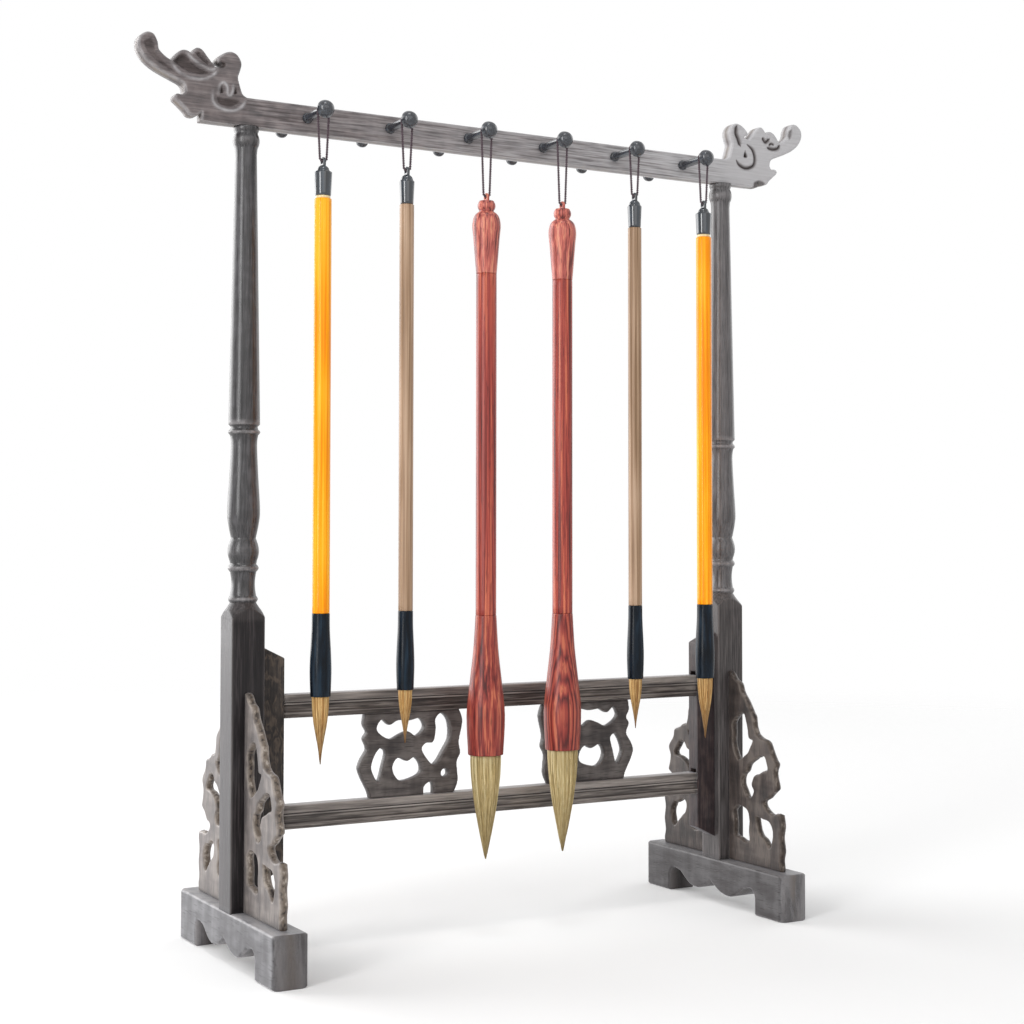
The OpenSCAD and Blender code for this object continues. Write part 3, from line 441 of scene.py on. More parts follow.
def wallEdges(node, axis):
    # edges, on a plate's near face, of the CAD walls that leave that face at a right angle, and each wall's depth
    triangles = cadTriangles(node)
    depth = np.abs(triangles[:, :, axis] - cadBounds(node)[0][axis])
    normal = np.cross(triangles[:, 1] - triangles[:, 0], triangles[:, 2] - triangles[:, 0])
    upright = np.abs(normal[:, axis]) < 1e-3 * np.linalg.norm(normal, axis=1)
    onFace = depth < 0.02
    picked = upright & (onFace.sum(1) == 2)
    order = np.argsort(~onFace[picked], axis=1, kind="stable")[:, :2]
    edges = np.take_along_axis(triangles[picked], order[:, :, None], 1)
    return edges[:, :, otherAxes(axis)], depth[picked].max(1)


def insideDistance(points, edges):
    # distance to the nearest edge, positive inside the outline and negative outside, and that nearest point
    best = np.full(len(points), np.inf)
    nearest = np.zeros_like(points)
    inside = np.zeros(len(points), bool)
    u, v = points.T
    for a, b in edges:
        run = b - a
        t = np.clip(((u - a[0]) * run[0] + (v - a[1]) * run[1]) / max(run @ run, 1e-12), 0, 1)
        foot = a + t[:, None] * run
        gap = ((foot - points) ** 2).sum(1)
        closer = gap < best
        best[closer], nearest[closer] = gap[closer], foot[closer]
        if run[1] != 0:
            inside ^= ((a[1] > v) != (b[1] > v)) & (u < a[0] + (v - a[1]) * run[0] / run[1])
    return np.where(inside, 1, -1) * np.sqrt(best), nearest


def polygonEdges(points):
    return np.stack([points, np.roll(points, -1, axis=0)], 1)


def lineDistance(points, line):
    # distance to a smooth line through a few points, and how far along that line the nearest place is
    curve = smoothCurve(line)
    best, along = np.full(len(points), np.inf), np.zeros(len(points))
    for k, (a, b) in enumerate(zip(curve[:-1], curve[1:])):
        run = b - a
        t = np.clip((points - a) @ run / max(run @ run, 1e-12), 0, 1)
        gap = np.linalg.norm(points - a - t[:, None] * run, axis=1)
        along = np.where(gap < best, (k + t) / (len(curve) - 1), along)
        best = np.minimum(best, gap)
    return best, along


def gridLines(edges, step, margin=0.5):
    corners = edges.reshape(-1, 2)
    return [np.arange(a, b + step, step) for a, b in zip(corners.min(0) - margin, corners.max(0) + margin)]


def sawnFace(lines, edges):
    # grid over the board, its points near the outline drawn on to it, split in triangles and trimmed to the outline
    rows, columns = len(lines[0]), len(lines[1])
    points = np.stack(np.meshgrid(*lines, indexing="ij"), -1).reshape(-1, 2)
    distance, nearest = insideDistance(points, edges)
    close = np.abs(distance) < carving["snap"] * min(np.diff(line).min() for line in lines)
    points = np.where(close[:, None], nearest, points)
    distance = np.where(close, 0.0, distance)
    index = np.arange(rows * columns).reshape(rows, columns)
    a, b, c, d = index[:-1, :-1], index[1:, :-1], index[1:, 1:], index[:-1, 1:]
    triangles = np.concatenate([np.stack(t, -1).reshape(-1, 3) for t in ((a, b, c), (a, c, d))])
    state = distance[triangles]
    kept = [triangles[(state >= 0).all(1) & (state > 0).any(1)]]
    mixed = triangles[(state > 0).any(1) & (state < 0).any(1)]
    extra, total = [], len(points)
    for turn in range(3):  # each corner of a cut triangle in turn is the lone one, inside or outside
        t = np.roll(mixed, -turn, axis=1)
        s = distance[t]
        loneIn = (s[:, 0] > 0) & (s[:, 1:] <= 0).all(1)
        loneOut = (s[:, 0] < 0) & (s[:, 1:] > 0).all(1)
        for pick, isIn in ((t[loneIn], True), (t[loneOut], False)):
            lone = distance[pick[:, 0]]
            for other in (1, 2):
                share = lone / (lone - distance[pick[:, other]])
                extra.append(points[pick[:, 0]] + share[:, None] * (points[pick[:, other]] - points[pick[:, 0]]))
            first = total + np.arange(len(pick))
            second = first + len(pick)
            total += 2 * len(pick)
            if isIn:
                kept.append(np.stack([pick[:, 0], first, second], -1))
            else:
                kept.append(np.stack([first, pick[:, 1], pick[:, 2]], -1))
                kept.append(np.stack([first, pick[:, 2], second], -1))
    points = np.vstack([points] + extra)
    distance = np.concatenate([distance, np.zeros(total - len(distance))])
    points, first, same = np.unique(points.round(4), axis=0, return_index=True, return_inverse=True)
    triangles = same.reshape(-1)[np.concatenate(kept)]
    ends = np.sort(triangles, axis=1)
    triangles = triangles[(ends[:, 0] != ends[:, 1]) & (ends[:, 1] != ends[:, 2])]
    used, triangles = np.unique(triangles, return_inverse=True)
    return points[used], np.maximum(distance[first][used], 0), triangles.reshape(-1, 3)


def outlineEdges(triangles):
    # edges that only one triangle has, in that triangle's direction
    edges = np.concatenate([triangles[:, [0, 1]], triangles[:, [1, 2]], triangles[:, [2, 0]]])
    size = edges.max() + 1
    return edges[~np.isin(edges[:, 0] * size + edges[:, 1], edges[:, 1] * size + edges[:, 0])]


def rimDirections(flat, rim):
    # way out of the outline at each of its points: at a right angle to its edges, shared with the neighbours
    i, j = rim.T
    run = flat[j] - flat[i]
    outward = np.stack([run[:, 1], -run[:, 0]], -1)
    push = np.zeros_like(flat)
    np.add.at(push, i, outward)
    np.add.at(push, j, outward)
    for sharing in range(3):
        shared = push.copy()
        np.add.at(shared, i, push[j])
        np.add.at(shared, j, push[i])
        push = shared
    return push / np.maximum(np.linalg.norm(push, axis=1), 1e-6)[:, None]


def chiselMarks(u, v):
    # from -1 to 1: two waves that cross and bend each other, and a shorter one over them
    marks = np.sin(1.1 * u + 2 * np.sin(0.31 * v)) * np.sin(0.93 * v + 2 * np.sin(0.37 * u))
    return np.clip(marks + 0.6 * np.sin(2.3 * u - 1.7 * v + 1.8 * np.sin(0.53 * u + 0.9 * v)), -1, 1)


def plainFace(flat):  # nothing lowered, rubbed, painted with sheen, or painted with shade and grime
    return np.zeros((4, len(flat)))


def carvedPlate(axis, centre, edges, half, lines, roundness, bulge, gnarl=0.0, chips=0.0, edgeWear=1.0,
                relief=plainFace, wallShade=lambda wall: 0.0):
    # two faces at the half thickness, less a quarter-round along the outline and the relief, and bulging walls between
    flat, distance, triangles = sawnFace(lines, edges)
    lowered, wear, pale, grimeAndShade = relief(flat)
    inward = np.clip(roundness - distance, 0, None)
    height = half(flat) - roundness + np.sqrt(roundness ** 2 - inward ** 2) - lowered
    rim = outlineEdges(triangles)
    onRim = np.unique(rim)
    wall, count = flat[onRim], len(flat)
    chisel = chiselMarks(*wall.T)
    middle = wall + rimDirections(flat, rim)[onRim] * (bulge + gnarl * chisel)[:, None]
    lift = gnarl * np.sin(wall @ [0.9, -1.3])  # the wall's middle wanders
    towards = -1 if axis == 1 else 1  # way in which the grid's triangles face
    points = np.zeros((2 * count + len(wall), 3))
    points[:, otherAxes(axis)] = np.vstack([flat, flat, middle])
    points[:, axis] = centre + np.concatenate([towards * height, -towards * height, lift])
    i, j = rim.T
    iWall, jWall = np.searchsorted(onRim, rim).T + 2 * count
    faces = [triangles, triangles[:, ::-1] + count, np.stack([i, iWall, jWall, j], -1),
             np.stack([iWall, i + count, j + count, jWall], -1)]
    rubbed = np.clip(edgeWear * smoothStep(-distance, -1.2 * roundness, -0.2 * roundness) + wear, 0, 1)
    raw = np.where(distance > 0, 0.0, carving["chippedRimCut" if chips else "rimCut"])
    # plate walls are darkened by chip stains, and by the painted shade that a piece gives its walls
    stainAndShade = np.maximum(np.clip(-carving["stain"] * chips * chisel, 0, 1), wallShade(wall))
    marks = {"wear": (rubbed, np.clip(chips * chisel, 0, 1)), "cut": (raw, np.ones(len(wall))),
             "pale": (pale, carving["wallSheen"] * pale[onRim]),
             "grimeAndShade": (grimeAndShade, np.maximum(stainAndShade, carving["wallGrimeAndShade"] * grimeAndShade[onRim]))}
    return (points, faces), {label: np.concatenate([face, face, side]) for label, (face, side) in marks.items()}


# fretwork panels and brackets: the brackets' ridges and holes are knifed by eye, so their outline is lumpy
fretwork = {"step": 0.4, "panel": {"roundness": 0.9, "bulge": 0.15, "edgeWear": 0.35}, "panelShade": 0.6,
            "bracket": {"roundness": 0.9, "bulge": 0.3, "gnarl": 0.22, "edgeWear": 0.6},
            "chips": {"left": 0.3, "right": 0.15}, "lump": 0.5, "lumpLength": 12.0, "post": 8.0, "seat": (0.2, 3.0),
            "dirtAndShade": 0.8, "shadeReach": 2.8, "footShade": 1.6}
footTop = cadBounds("left_foot")[1][2]


def lumpyEdges(edges):
    # outline cut in runs of a millimetre, its points pushed about by crossed waves, but not at the post and foot
    counts = np.ceil(np.linalg.norm(edges[:, 1] - edges[:, 0], axis=1)).astype(int).clip(1)
    place = np.concatenate([np.arange(n) for n in counts])[:, None, None] + np.array([0, 1])[None, :, None]
    a, b, n = (np.repeat(v, counts, axis=0) for v in (edges[:, :1], edges[:, 1:], counts[:, None, None]))
    runs = a + place / n * (b - a)
    held = smoothStep(np.abs(runs[..., :1]) - fretwork["post"], *fretwork["seat"])
    held = held * smoothStep(runs[..., 1:] - footTop, *fretwork["seat"])
    u, v = np.moveaxis(2 * np.pi * runs / fretwork["lumpLength"], -1, 0)
    push = np.stack([np.sin(v + 1.3 * np.sin(0.7 * u)), np.sin(1.1 * u + 1.7 * np.sin(0.6 * v))], -1)
    return runs + fretwork["lump"] * held * push


def bracketShade(flat):
    # painted shade: a bracket is darkened where it meets the post and the foot
    gap = np.minimum(np.abs(flat[:, 0]) - fretwork["post"], fretwork["footShade"] * (flat[:, 1] - footTop))
    dirtAndShade = fretwork["dirtAndShade"] * np.exp(-np.clip(gap, 0, None) / fretwork["shadeReach"])
    return 0.0, 0.0, np.zeros(len(flat)), dirtAndShade


def makeFretwork(node, axis, material, edges, style):
    low, high = cadBounds(node)
    surface, attributes = carvedPlate(axis, (low + high)[axis] / 2, edges, lambda flat: (high - low)[axis] / 2,
                                      gridLines(edges, fretwork["step"]), **style)
    putPiece(node, "_carving", surface, material, attributes)


for side, bracketWood in (("left", "bracket"), ("right", "shadedBracket")):
    node = side + "_panel"
    # the panel's hole walls are painted darker all over, as painted shade
    makeFretwork(node, 1, wood["panel"], wallEdges(node, 1)[0],
                 {**fretwork["panel"], "wallShade": lambda wall: fretwork["panelShade"]})
    for end in ("front", "back"):
        node = f"{side}_{end}_bracket"
        makeFretwork(node, 0, wood[bracketWood], lumpyEdges(wallEdges(node, 0)[0]),
                     {**fretwork["bracket"], "relief": bracketShade, "chips": fretwork["chips"][side]})
print("fretwork carved")

# feet: two legs under a rounded top, and an apron with two lobes and a cusp. The apron's line is given
# by shares of the way from the middle to the arch, and heights
# the arch, the right foot's side and the ends are painted darker, as painted shade
footShape = {"leg": 23, "arch": 13, "archRadius": 4.5, "archTurn": 105, "planCorner": 2.6, "roundness": 1.0,
             "apron": [(0.95, 11.8), (0.62, 6.0), (0.3, 6.4), (0, 11.0)], "step": 0.6, "wallShade": 0.7,
             "grimeAndShade": {"left": (0.0, 0.45), "right": (0.55, 0.2)}}


def footOutline(length, height):
    # half of the foot's side, mirrored about its middle
    s = footShape
    inner, radius = length / 2 - s["leg"], s["archRadius"]
    turn = np.radians(np.linspace(0, s["archTurn"], 12))
    arch = np.stack([inner - radius + radius * np.cos(turn), s["arch"] - radius + radius * np.sin(turn)], -1)
    apron = smoothCurve([((inner - 2 * radius) * share, z) for share, z in s["apron"]])
    half = np.vstack([[(length / 2, height), (length / 2, 0), (inner, 0)], arch, apron])
    return np.vstack([half, half[-2::-1] * [-1, 1]])


def makeFoot(side):
    s = footShape
    node = side + "_foot"
    low, high = cadBounds(node)
    edges = polygonEdges(footOutline(high[1] - low[1], high[2]))
    corner = s["planCorner"]

    def half(flat):  # thickness falls away round the corners seen from above
        past = np.clip(np.abs(flat[:, 0]) - high[1] + corner, 0, corner)
        return (high[0] - low[0]) / 2 - corner + np.sqrt(corner ** 2 - past ** 2)

    def footShading(flat):  # one strength of painted shade along the foot, and another on its ends
        end = smoothStep(np.abs(flat[:, 0]) - high[1] + corner, 0, 0.8 * corner)
        middleDark, endDark = s["grimeAndShade"][side]
        return 0.0, 0.0, np.zeros(len(flat)), middleDark + (endDark - middleDark) * end

    def wallShade(wall):  # painted shade in the arch
        return s["wallShade"] * (np.abs(wall[:, 0]) < high[1] - s["leg"] + 0.3) * (wall[:, 1] < s["arch"] + 0.3)

    surface, attributes = carvedPlate(0, (low + high)[0] / 2, edges, half, gridLines(edges, s["step"]),
                                      s["roundness"], 0.0, relief=footShading, wallShade=wallShade)
    putPiece(node, "_block", surface, wood["foot"], attributes)


# posts: radius = the smaller of a square with eased corners and a turned profile, at each angle and height
postShape = {"half": 8.0, "squareness": 26, "shoulder": [(11.4, 157.5), (8.0, 161.5), (6.0, 164.5)], "sharpness": 7,
             "around": 29, "crowding": 1.7, "seat": 0.2, "uncut": 30.0, "squareStep": 3.0, "tenon": 4,
             "turnedStep": 1.2, "cornerWear": 0.5, "cornerWidth": 0.04, "crestReach": 2.5, "widestCrest": 9,
             "calm": 0.25, "outerSheen": 0.16, "paintedSheen": {"left": (0.0, 0.09), "right": (0.25, 0.32)}}


def crestWear(profile):
    # 1 on the crests of a turned profile, 0 in its hollows and along plain stretches
    r, z = profile.T
    near = bellCurve(z[:, None] - z[None], postShape["crestReach"])
    return smoothStep(r - near @ r / near.sum(1), 0.05, 0.45)


def makePost(side):
    s = postShape
    node = side + "_post"
    shoulder = smoothCurve(s["shoulder"], 12)
    profile, centre = turnedProfile(node, low=s["shoulder"][-1][1] + 0.1)
    profile = denser(profile[profile[:, 0] > s["tenon"]], s["turnedStep"])
    squareZ = np.arange(footTop - s["seat"], s["shoulder"][0][1], s["squareStep"])
    square = np.stack([np.full(len(squareZ), s["uncut"]), squareZ], -1)
    path = np.vstack([square, shoulder, profile])
    pathR, pathZ = path[:, :1], path[:, 1:]
    isSquare = pathR == s["uncut"]
    t = np.linspace(-1, 1, s["around"])[:-1]
    quarter = np.pi / 4 + np.sign(t) * np.abs(t) ** s["crowding"] * np.pi / 4  # angles crowd at the corners
    angle = np.concatenate([quarter + k * np.pi / 2 for k in range(4)])
    sides = np.abs(np.cos(angle)) ** s["squareness"] + np.abs(np.sin(angle)) ** s["squareness"]
    r = softMin((s["half"] / sides ** (1 / s["squareness"]))[None], pathR, s["sharpness"])
    rings = polarPoints(r, angle, pathZ) + [centre[0], 0, 0]
    corner = bellCurve(np.abs((angle % (np.pi / 2)) - np.pi / 4), s["cornerWidth"])
    crest = crestWear(path)[:, None] * (pathR < s["widestCrest"])
    wear = np.where(pathR > r + 0.3, s["cornerWear"] * corner[None], crest)
    # each post is painted paler, by one share on its square part and another on its turned part, as painted sheen
    squareSheen, turnedSheen = s["paintedSheen"][side]
    outer = smoothStep(np.sign(centre[0]) * np.cos(angle), 0.7, 0.76)  # the outer faces are painted paler too, as painted light on the left post's lit outer face
    pale = np.where(isSquare, np.maximum(squareSheen, s["outerSheen"] * outer), turnedSheen)
    surface = closedTube(rings, (centre[0], 0, path[0, 1]), (centre[0], 0, path[-1, 1]))
    piece = putPiece(node, "_turning", surface, wood["post"], {
        "wear": withPoles(wear), "pale": withPoles(pale + 0 * r), "calm": withPoles(s["calm"] * ~isSquare + 0 * r)})
    piece.data.materials.append(wood["turned"])
    ring = np.arange(len(piece.data.polygons)) // len(angle)  # the ring that each face stands on
    isTurned = (ring >= len(square) + len(shoulder)) & (ring < len(path) - 1)
    piece.data.polygons.foreach_set("material_index", isTurned.astype(np.int32))


# stiles: the CAD solid with its slots, its loose triangles merged into flat faces and its edges eased
stileShape = {"edge": 0.45, "segments": 3}


def makeStile(side):
    node = side + "_stile"
    mesh = frame["nodes"][node].data.copy()
    mesh.materials.clear()
    solid = bmesh.new()
    solid.from_mesh(mesh)
    bmesh.ops.remove_doubles(solid, verts=solid.verts, dist=0.001 * mm)
    bmesh.ops.dissolve_limit(solid, angle_limit=math.radians(1), verts=solid.verts, edges=solid.edges)
    for face in solid.faces:
        face.smooth = True
    solid.to_mesh(mesh)
    solid.free()
    mesh.materials.append(wood[side + "Stile"])
    piece = addObject(node + "_upright", mesh)
    ease = piece.modifiers.new("eased_edges", "BEVEL")
    ease.width = stileShape["edge"] * mm
    ease.segments = stileShape["segments"]
    ease.limit_method = "ANGLE"
    ease.harden_normals = True
    standFor(piece, node)


# rails: a moulded section carried along the rack, as distance out from the middle and height up the rail.
# Rubbed edges and darker grooves are given by height, width and strength
railShape = {"half": 117.15, "step": 3.0,
             "section": [(3.45, 0.0), (3.85, 0.12), (4.0, 0.5), (4.0, 2.1), (3.9, 2.4), (3.35, 2.66), (3.22, 3.1),
                         (3.16, 4.4), (3.22, 5.6), (3.3, 6.0), (3.58, 6.2), (3.72, 6.6), (3.58, 7.0), (3.28, 7.15),
                         (3.3, 7.3), (3.85, 7.5), (4.0, 7.8), (4.0, 10.4), (3.85, 10.85), (3.45, 11.0)],
             "bead": 6.6, "rubbed": [(10.8, 0.3, 0.7), (7.6, 0.25, 0.7), (2.3, 0.2, 0.5)], "topWear": 0.45,
             "grooves": [(2.95, 0.35, 1.0), (5.85, 0.3, 1.0), (7.2, 0.22, 1.0)], "dirtAndShade": 0.8}


def makeRail(node, paintedSheen):
    s = railShape
    base = cadBounds(node)[0][2]
    half = smoothCurve(s["section"], 3)
    bottom, top = [[0, half[0, 1]]], [[0, half[-1, 1]]]
    out, up = np.vstack([bottom, half, top, half[::-1] * [-1, 1]]).T
    count = int(2 * s["half"] / s["step"])
    x = np.linspace(-s["half"], s["half"], count)
    rings = np.stack(np.broadcast_arrays(x[:, None], out, base + up), -1)
    middle = base + half[-1, 1] / 2
    rubbed, grooveDark = (sum(strength * bellCurve(up - at, wide) for at, wide, strength in s[label])
                     for label in ("rubbed", "grooves"))
    bead = smoothStep(np.abs(out), 3.5, 3.75) * (np.abs(up - s["bead"]) < 0.5)
    wear = np.maximum(np.clip(bead + rubbed, 0, 1), s["topWear"] * smoothStep(up, 7.4, 8.2))
    grimeAndShade = s["dirtAndShade"] * np.clip(grooveDark, 0, 1) * (np.abs(out) > 1)
    surface = closedTube(rings, (x[0], 0, middle), (x[-1], 0, middle))
    putPiece(node, "_moulding", surface, wood["rail"], {
        "wear": withPoles(np.tile(wear, count)), "grimeAndShade": withPoles(np.tile(grimeAndShade, count)),
        "pale": np.full(len(surface[0]), paintedSheen)})


for side in ("left", "right"):
    makeFoot(side)
    makePost(side)
    makeStile(side)
# the lower rail is painted paler than the upper one, as painted sheen
makeRail("upper_rail", 0.0)
makeRail("lower_rail", 0.12)
print("feet, posts, stiles and rails made")

# beam: dragon heads drawn out from the beam's end and up from its top, cut in relief on both faces.
# Grooves are lines with a depth and width, or raised rims where the depth is 0. Hollows have a depth and a strength of
# painted shade
# the beam is painted paler towards its right end, as painted reflection, by the share given at each place along it
beamShape = {"end": 159, "top": 400, "roundness": 1.1, "bulge": 0.1, "edgeWear": 0.5, "deepWall": 5, "step": 0.36,
             "plainStep": 6.0, "headFrom": 133, "shadeRun": 12, "rimHeight": 0.42, "rimWear": 0.7,
             "hollowEdge": (-0.3, 1.2), "hollowShade": (-0.4, 0.9), "taper": (-0.05, 0.5), "grooveShade": 0.75,
             "shadeSpread": 1.3, "calm": [(-142, 0.5), (-128, 0.0), (110, 0.0), (142, 0.85)],
             "paintedSheen": [(-160, 0.14), (-110, 0.17), (0, 0.43), (100, 0.64), (150, 0.9)]}
headRelief = {
    "left": {
        "hollows": [([(14.0, 12.4), (10.9, 15.6), (7.9, 16.0), (4.9, 13.2), (1.2, 10.8), (-3.6, 9.4), (-1.2, 8.2),
                      (2.4, 7.6), (7.3, 8.4), (11.5, 10.6)], 1.5, 0.5),
                    ([(3.4, 17.4), (1.4, 18.4), (-1.8, 15.9), (-3.6, 13.6), (-2.6, 12.6), (0.2, 14.2), (2.6, 16.2)],
                     1.2, 0.4),
                    ([(-6.8, 13.6), (-8.6, 15.4), (-11.4, 14.8), (-10.8, 12.6), (-8.4, 12.0)], 1.5, 0.7),
                    ([(-9.4, 4.2), (-10.4, 1.0), (-8.6, 0.4)], 1.3, 0.9),
                    ([(-16.3, 4.4), (-17.0, 1.2), (-15.2, 0.8)], 1.3, 0.9),
                    ([(-7.0, -1.4), (-11.0, -1.8), (-15.0, -1.4), (-18.6, -2.4), (-15.2, -5.4), (-11.0, -5.8),
                      (-7.6, -4.4)], 0.8, 0.5),
                    ([(24.0, 22.0), (27.6, 20.0), (27.0, 16.4), (23.0, 12.0), (17.0, 8.6), (11.0, 6.2), (12.0, 7.4),
                      (18.0, 11.6), (21.6, 15.4), (22.4, 19.0)], 0.55, 0.4)],
        "grooves": [([(7.9, 17.2), (3.7, 13.9), (-0.6, 11.6), (-4.3, 10.6), (-7.0, 11.8)], 0.0, 0.7),
                    ([(14.9, 11.6), (12.1, 8.5), (7.9, 6.2), (1.2, 5.6), (-4.3, 7.6), (-7.4, 11.0)], 0.0, 0.75),
                    ([(-7.7, -0.4), (-8.2, 3.6), (-10.4, 5.4), (-12.0, 3.5), (-12.2, 0.5), (-13.4, -0.4),
                      (-14.6, 1.5), (-15.0, 4.8)], 0.0, 0.7),
                    ([(-5.3, 1.0), (-5.0, -2.7), (-6.6, -5.6), (-11.1, -7.3), (-15.4, -7.1), (-19.1, -4.9),
                      (-21.2, -1.6)], 0.0, 0.75)],
        "shade": 0.08},
    "right": {
        "hollows": [([(-9.2, 6.4), (-7.6, 2.6), (-10.2, 2.4)], 1.3, 1.0),
                    ([(20.9, 20.4), (23.2, 21.4), (23.0, 17.6), (21.4, 15.4), (20.4, 16.8)], 0.6, 0.42),
                    ([(-3.4, -10.6), (0.6, -9.2), (4.2, -10.6), (3.8, -13.8), (-0.4, -15.4), (-3.8, -14.6)],
                     0.6, 0.55)],
        "grooves": [([(-14.8, 19.2), (-15.2, 15.0), (-13.8, 12.0), (-12.4, 8.2)], 1.2, 0.9),
                    ([(-7.9, 9.6), (-4.2, 7.2), (-2.6, 2.9), (-3.2, -1.0), (-5.8, -2.9), (-9.3, -3.6), (-13.0, -2.2),
                      (-15.2, 0.2)], 1.1, 0.7),
                    ([(2.6, 14.6), (4.8, 12.2), (7.4, 14.4)], 1.0, 0.7),
                    ([(5.6, 9.4), (9.6, 8.8), (13.0, 9.6), (14.4, 11.6)], 1.0, 0.7),
                    ([(7.0, 10.6), (8.6, 11.8), (10.4, 11.2)], 0.6, 0.5)],
        "shade": 0.0},
}


def headCut(flat):
    # how far each point of the face is lowered, how rubbed it is, how much paler it is painted as sheen, and how much
    # darker it is painted as shade and dirt
    s = beamShape
    lowered, wear, grimeAndShade = np.zeros((3, len(flat)))
    for side, sign in (("left", -1), ("right", 1)):
        relief = headRelief[side]
        here = np.flatnonzero(flat[:, 0] * sign > s["headFrom"])
        local = np.stack([sign * flat[here, 0] - s["end"], flat[here, 1] - s["top"]], -1)
        sunk, dirtAndShade, rims = np.zeros((3, len(here)))
        for outline, depth, dark in relief["hollows"]:
            curve = smoothCurve(np.vstack([outline, outline[:1]]), 5)[:-1]
            inside, _ = insideDistance(local, polygonEdges(curve))
            sunk = np.maximum(sunk, depth * smoothStep(inside, *s["hollowEdge"]))
            dirtAndShade = np.maximum(dirtAndShade, dark * smoothStep(inside, *s["hollowShade"]))
        for line, depth, width in relief["grooves"]:
            gap, along = lineDistance(local, line)
            taper = smoothStep(np.sin(np.pi * along), *s["taper"])
            if depth > 0:
                sunk = np.maximum(sunk, depth * taper * bellCurve(gap, width))
                spread = s["shadeSpread"] * width * (0.25 + 0.75 * taper)
                dirtAndShade = np.maximum(dirtAndShade, s["grooveShade"] * bellCurve(gap, spread))
            else:
                edge = bellCurve(gap, width) * (0.4 + 0.6 * taper)
                sunk, dirtAndShade, rims = sunk * (1 - 0.8 * edge), dirtAndShade * (1 - edge), np.maximum(rims, edge)
        lowered[here] = sunk - s["rimHeight"] * rims
        wear[here] = s["rimWear"] * rims
        head = smoothStep(sign * flat[:, 0], s["headFrom"], s["headFrom"] + s["shadeRun"])
        grimeAndShade = np.maximum(grimeAndShade, relief["shade"] * head * (1 - wear))
        grimeAndShade[here] = np.maximum(grimeAndShade[here], dirtAndShade)
    # painted sheen: paler towards the right end, less where the face is painted dark
    pale = np.interp(flat[:, 0], *np.transpose(s["paintedSheen"])) * (1 - grimeAndShade)
    return lowered, wear, pale, grimeAndShade


def makeBeam():
    s = beamShape
    edges, depth = wallEdges("beam", 1)
    edges = edges[depth > s["deepWall"]]  # the outline, without the CAD's own grooves
    low, high = cadBounds("beam")
    head = np.arange(s["headFrom"], high[0] + 1, s["step"])
    plain = np.arange(-s["headFrom"] + s["plainStep"], s["headFrom"] - 1, s["plainStep"])
    lines = [np.concatenate([-head[::-1], plain, head]), gridLines(edges, s["step"])[1]]
    half = (high - low)[1] / 2
    (points, faces), attributes = carvedPlate(1, 0.0, edges, lambda flat: half, lines, s["roundness"], s["bulge"],
                                              relief=headCut, edgeWear=s["edgeWear"])
    points[:, 1] = np.clip(points[:, 1], -half - s["rimHeight"], half + s["rimHeight"])
    attributes["calm"] = np.interp(points[:, 0], *np.transpose(s["calm"]))
    putPiece("beam", "_carving", (points, faces), wood["beam"], attributes)


makeBeam()
print("beam carved")

# pegs: lathe profiles read from the CAD solids, from just inside the beam's faces out to the front and the back
pegShape = {"from": 3.9, "step": 1.0, "around": 40}


def makePeg(node, sign):
    profile, centre = turnedProfile(node, axis=1, fewest=12)
    out = profile[np.argsort(profile[:, 1] * sign)] * [1, sign]
    out = denser(out[out[:, 1] > pegShape["from"]], pegShape["step"])
    points, faces = turned(out, (0, 0), pegShape["around"])
    points = np.stack([points[:, 0], sign * points[:, 2], -sign * points[:, 1]], -1) + [centre[0], 0, centre[2]]
    putPiece(node, "_turning", (points, faces), ebony, slot="peg_wood")


for number in range(1, 7):
    makePeg(f"front_peg_{number}", -1)
    makePeg(f"back_peg_{number}", 1)
print("pegs turned")

# brushes: caps and finials with an eye, collars, handles, and ferrules and bells with an open mouth for the hair
brushKinds = ["orange", "taupe", "red", "red", "taupe", "orange"]
canes = {"orange": (orangeCane, "orange_lacquer"), "taupe": (taupeCane, "taupe_cane")}
eyeShape = {"hole": 1.037, "outer": 1.837, "half": 0.75, "stem": 2.9, "around": 40, "section": 12, "easing": 0.7}
mouthShape = {"wall": 0.6, "depth": 4.5, "ceiling": 5.0, "lip": 0.18}
shaftShape = {"dowel": 2, "step": 3.0}
hinges = {joint["name"]: np.array(joint["pos_m"]) / mm for joint in frame["joints"]}


def eyeRing(centre):
    # closed band round the hole: its outer edge is a circle above and runs straight down into the knob below
    s = eyeShape
    a, b = roundAngles(s["around"]), roundAngles(s["section"])
    straight = np.minimum(s["outer"] / np.maximum(np.abs(np.cos(a)), 1e-6), s["stem"] / np.maximum(-np.sin(a), 1e-6))
    outer = np.where(np.sin(a) < 0, straight, s["outer"])[:, None]
    bow, wide = (np.sign(wave) * np.abs(wave) ** s["easing"] for wave in (np.cos(b), np.sin(b)))
    r = (outer + s["hole"]) / 2 + (outer - s["hole"]) / 2 * bow
    rings = np.stack([-s["half"] * wide + 0 * r, r * np.cos(a)[:, None], r * np.sin(a)[:, None]], -1)
    return rings.reshape(-1, 3) + centre, [ringFaces(s["around"], s["section"], closed=True)]


def makeTop(number, label, material, slot):
    # cap or finial below its eye
    node = f"brush_{number}_{label}"
    eye = hinges[f"brush_{number}_tilt"]
    profile, centre = turnedProfile(node, high=eye[2] - eyeShape["outer"], fewest=14)
    surface = joined(turned(denser(profile, 1.0), centre), eyeRing(eye))
    putPiece(node, "_turning", surface, material, body=f"brush_{number}", slot=slot)


def makeShaft(number, label, material, slot):
    # handle or collar, without the dowels at its ends
    node = f"brush_{number}_{label}"
    profile, centre = turnedProfile(node)
    surface = turned(denser(profile[profile[:, 0] > shaftShape["dowel"]], shaftShape["step"]), centre)
    putPiece(node, "_turning", surface, material, body=f"brush_{number}", slot=slot)


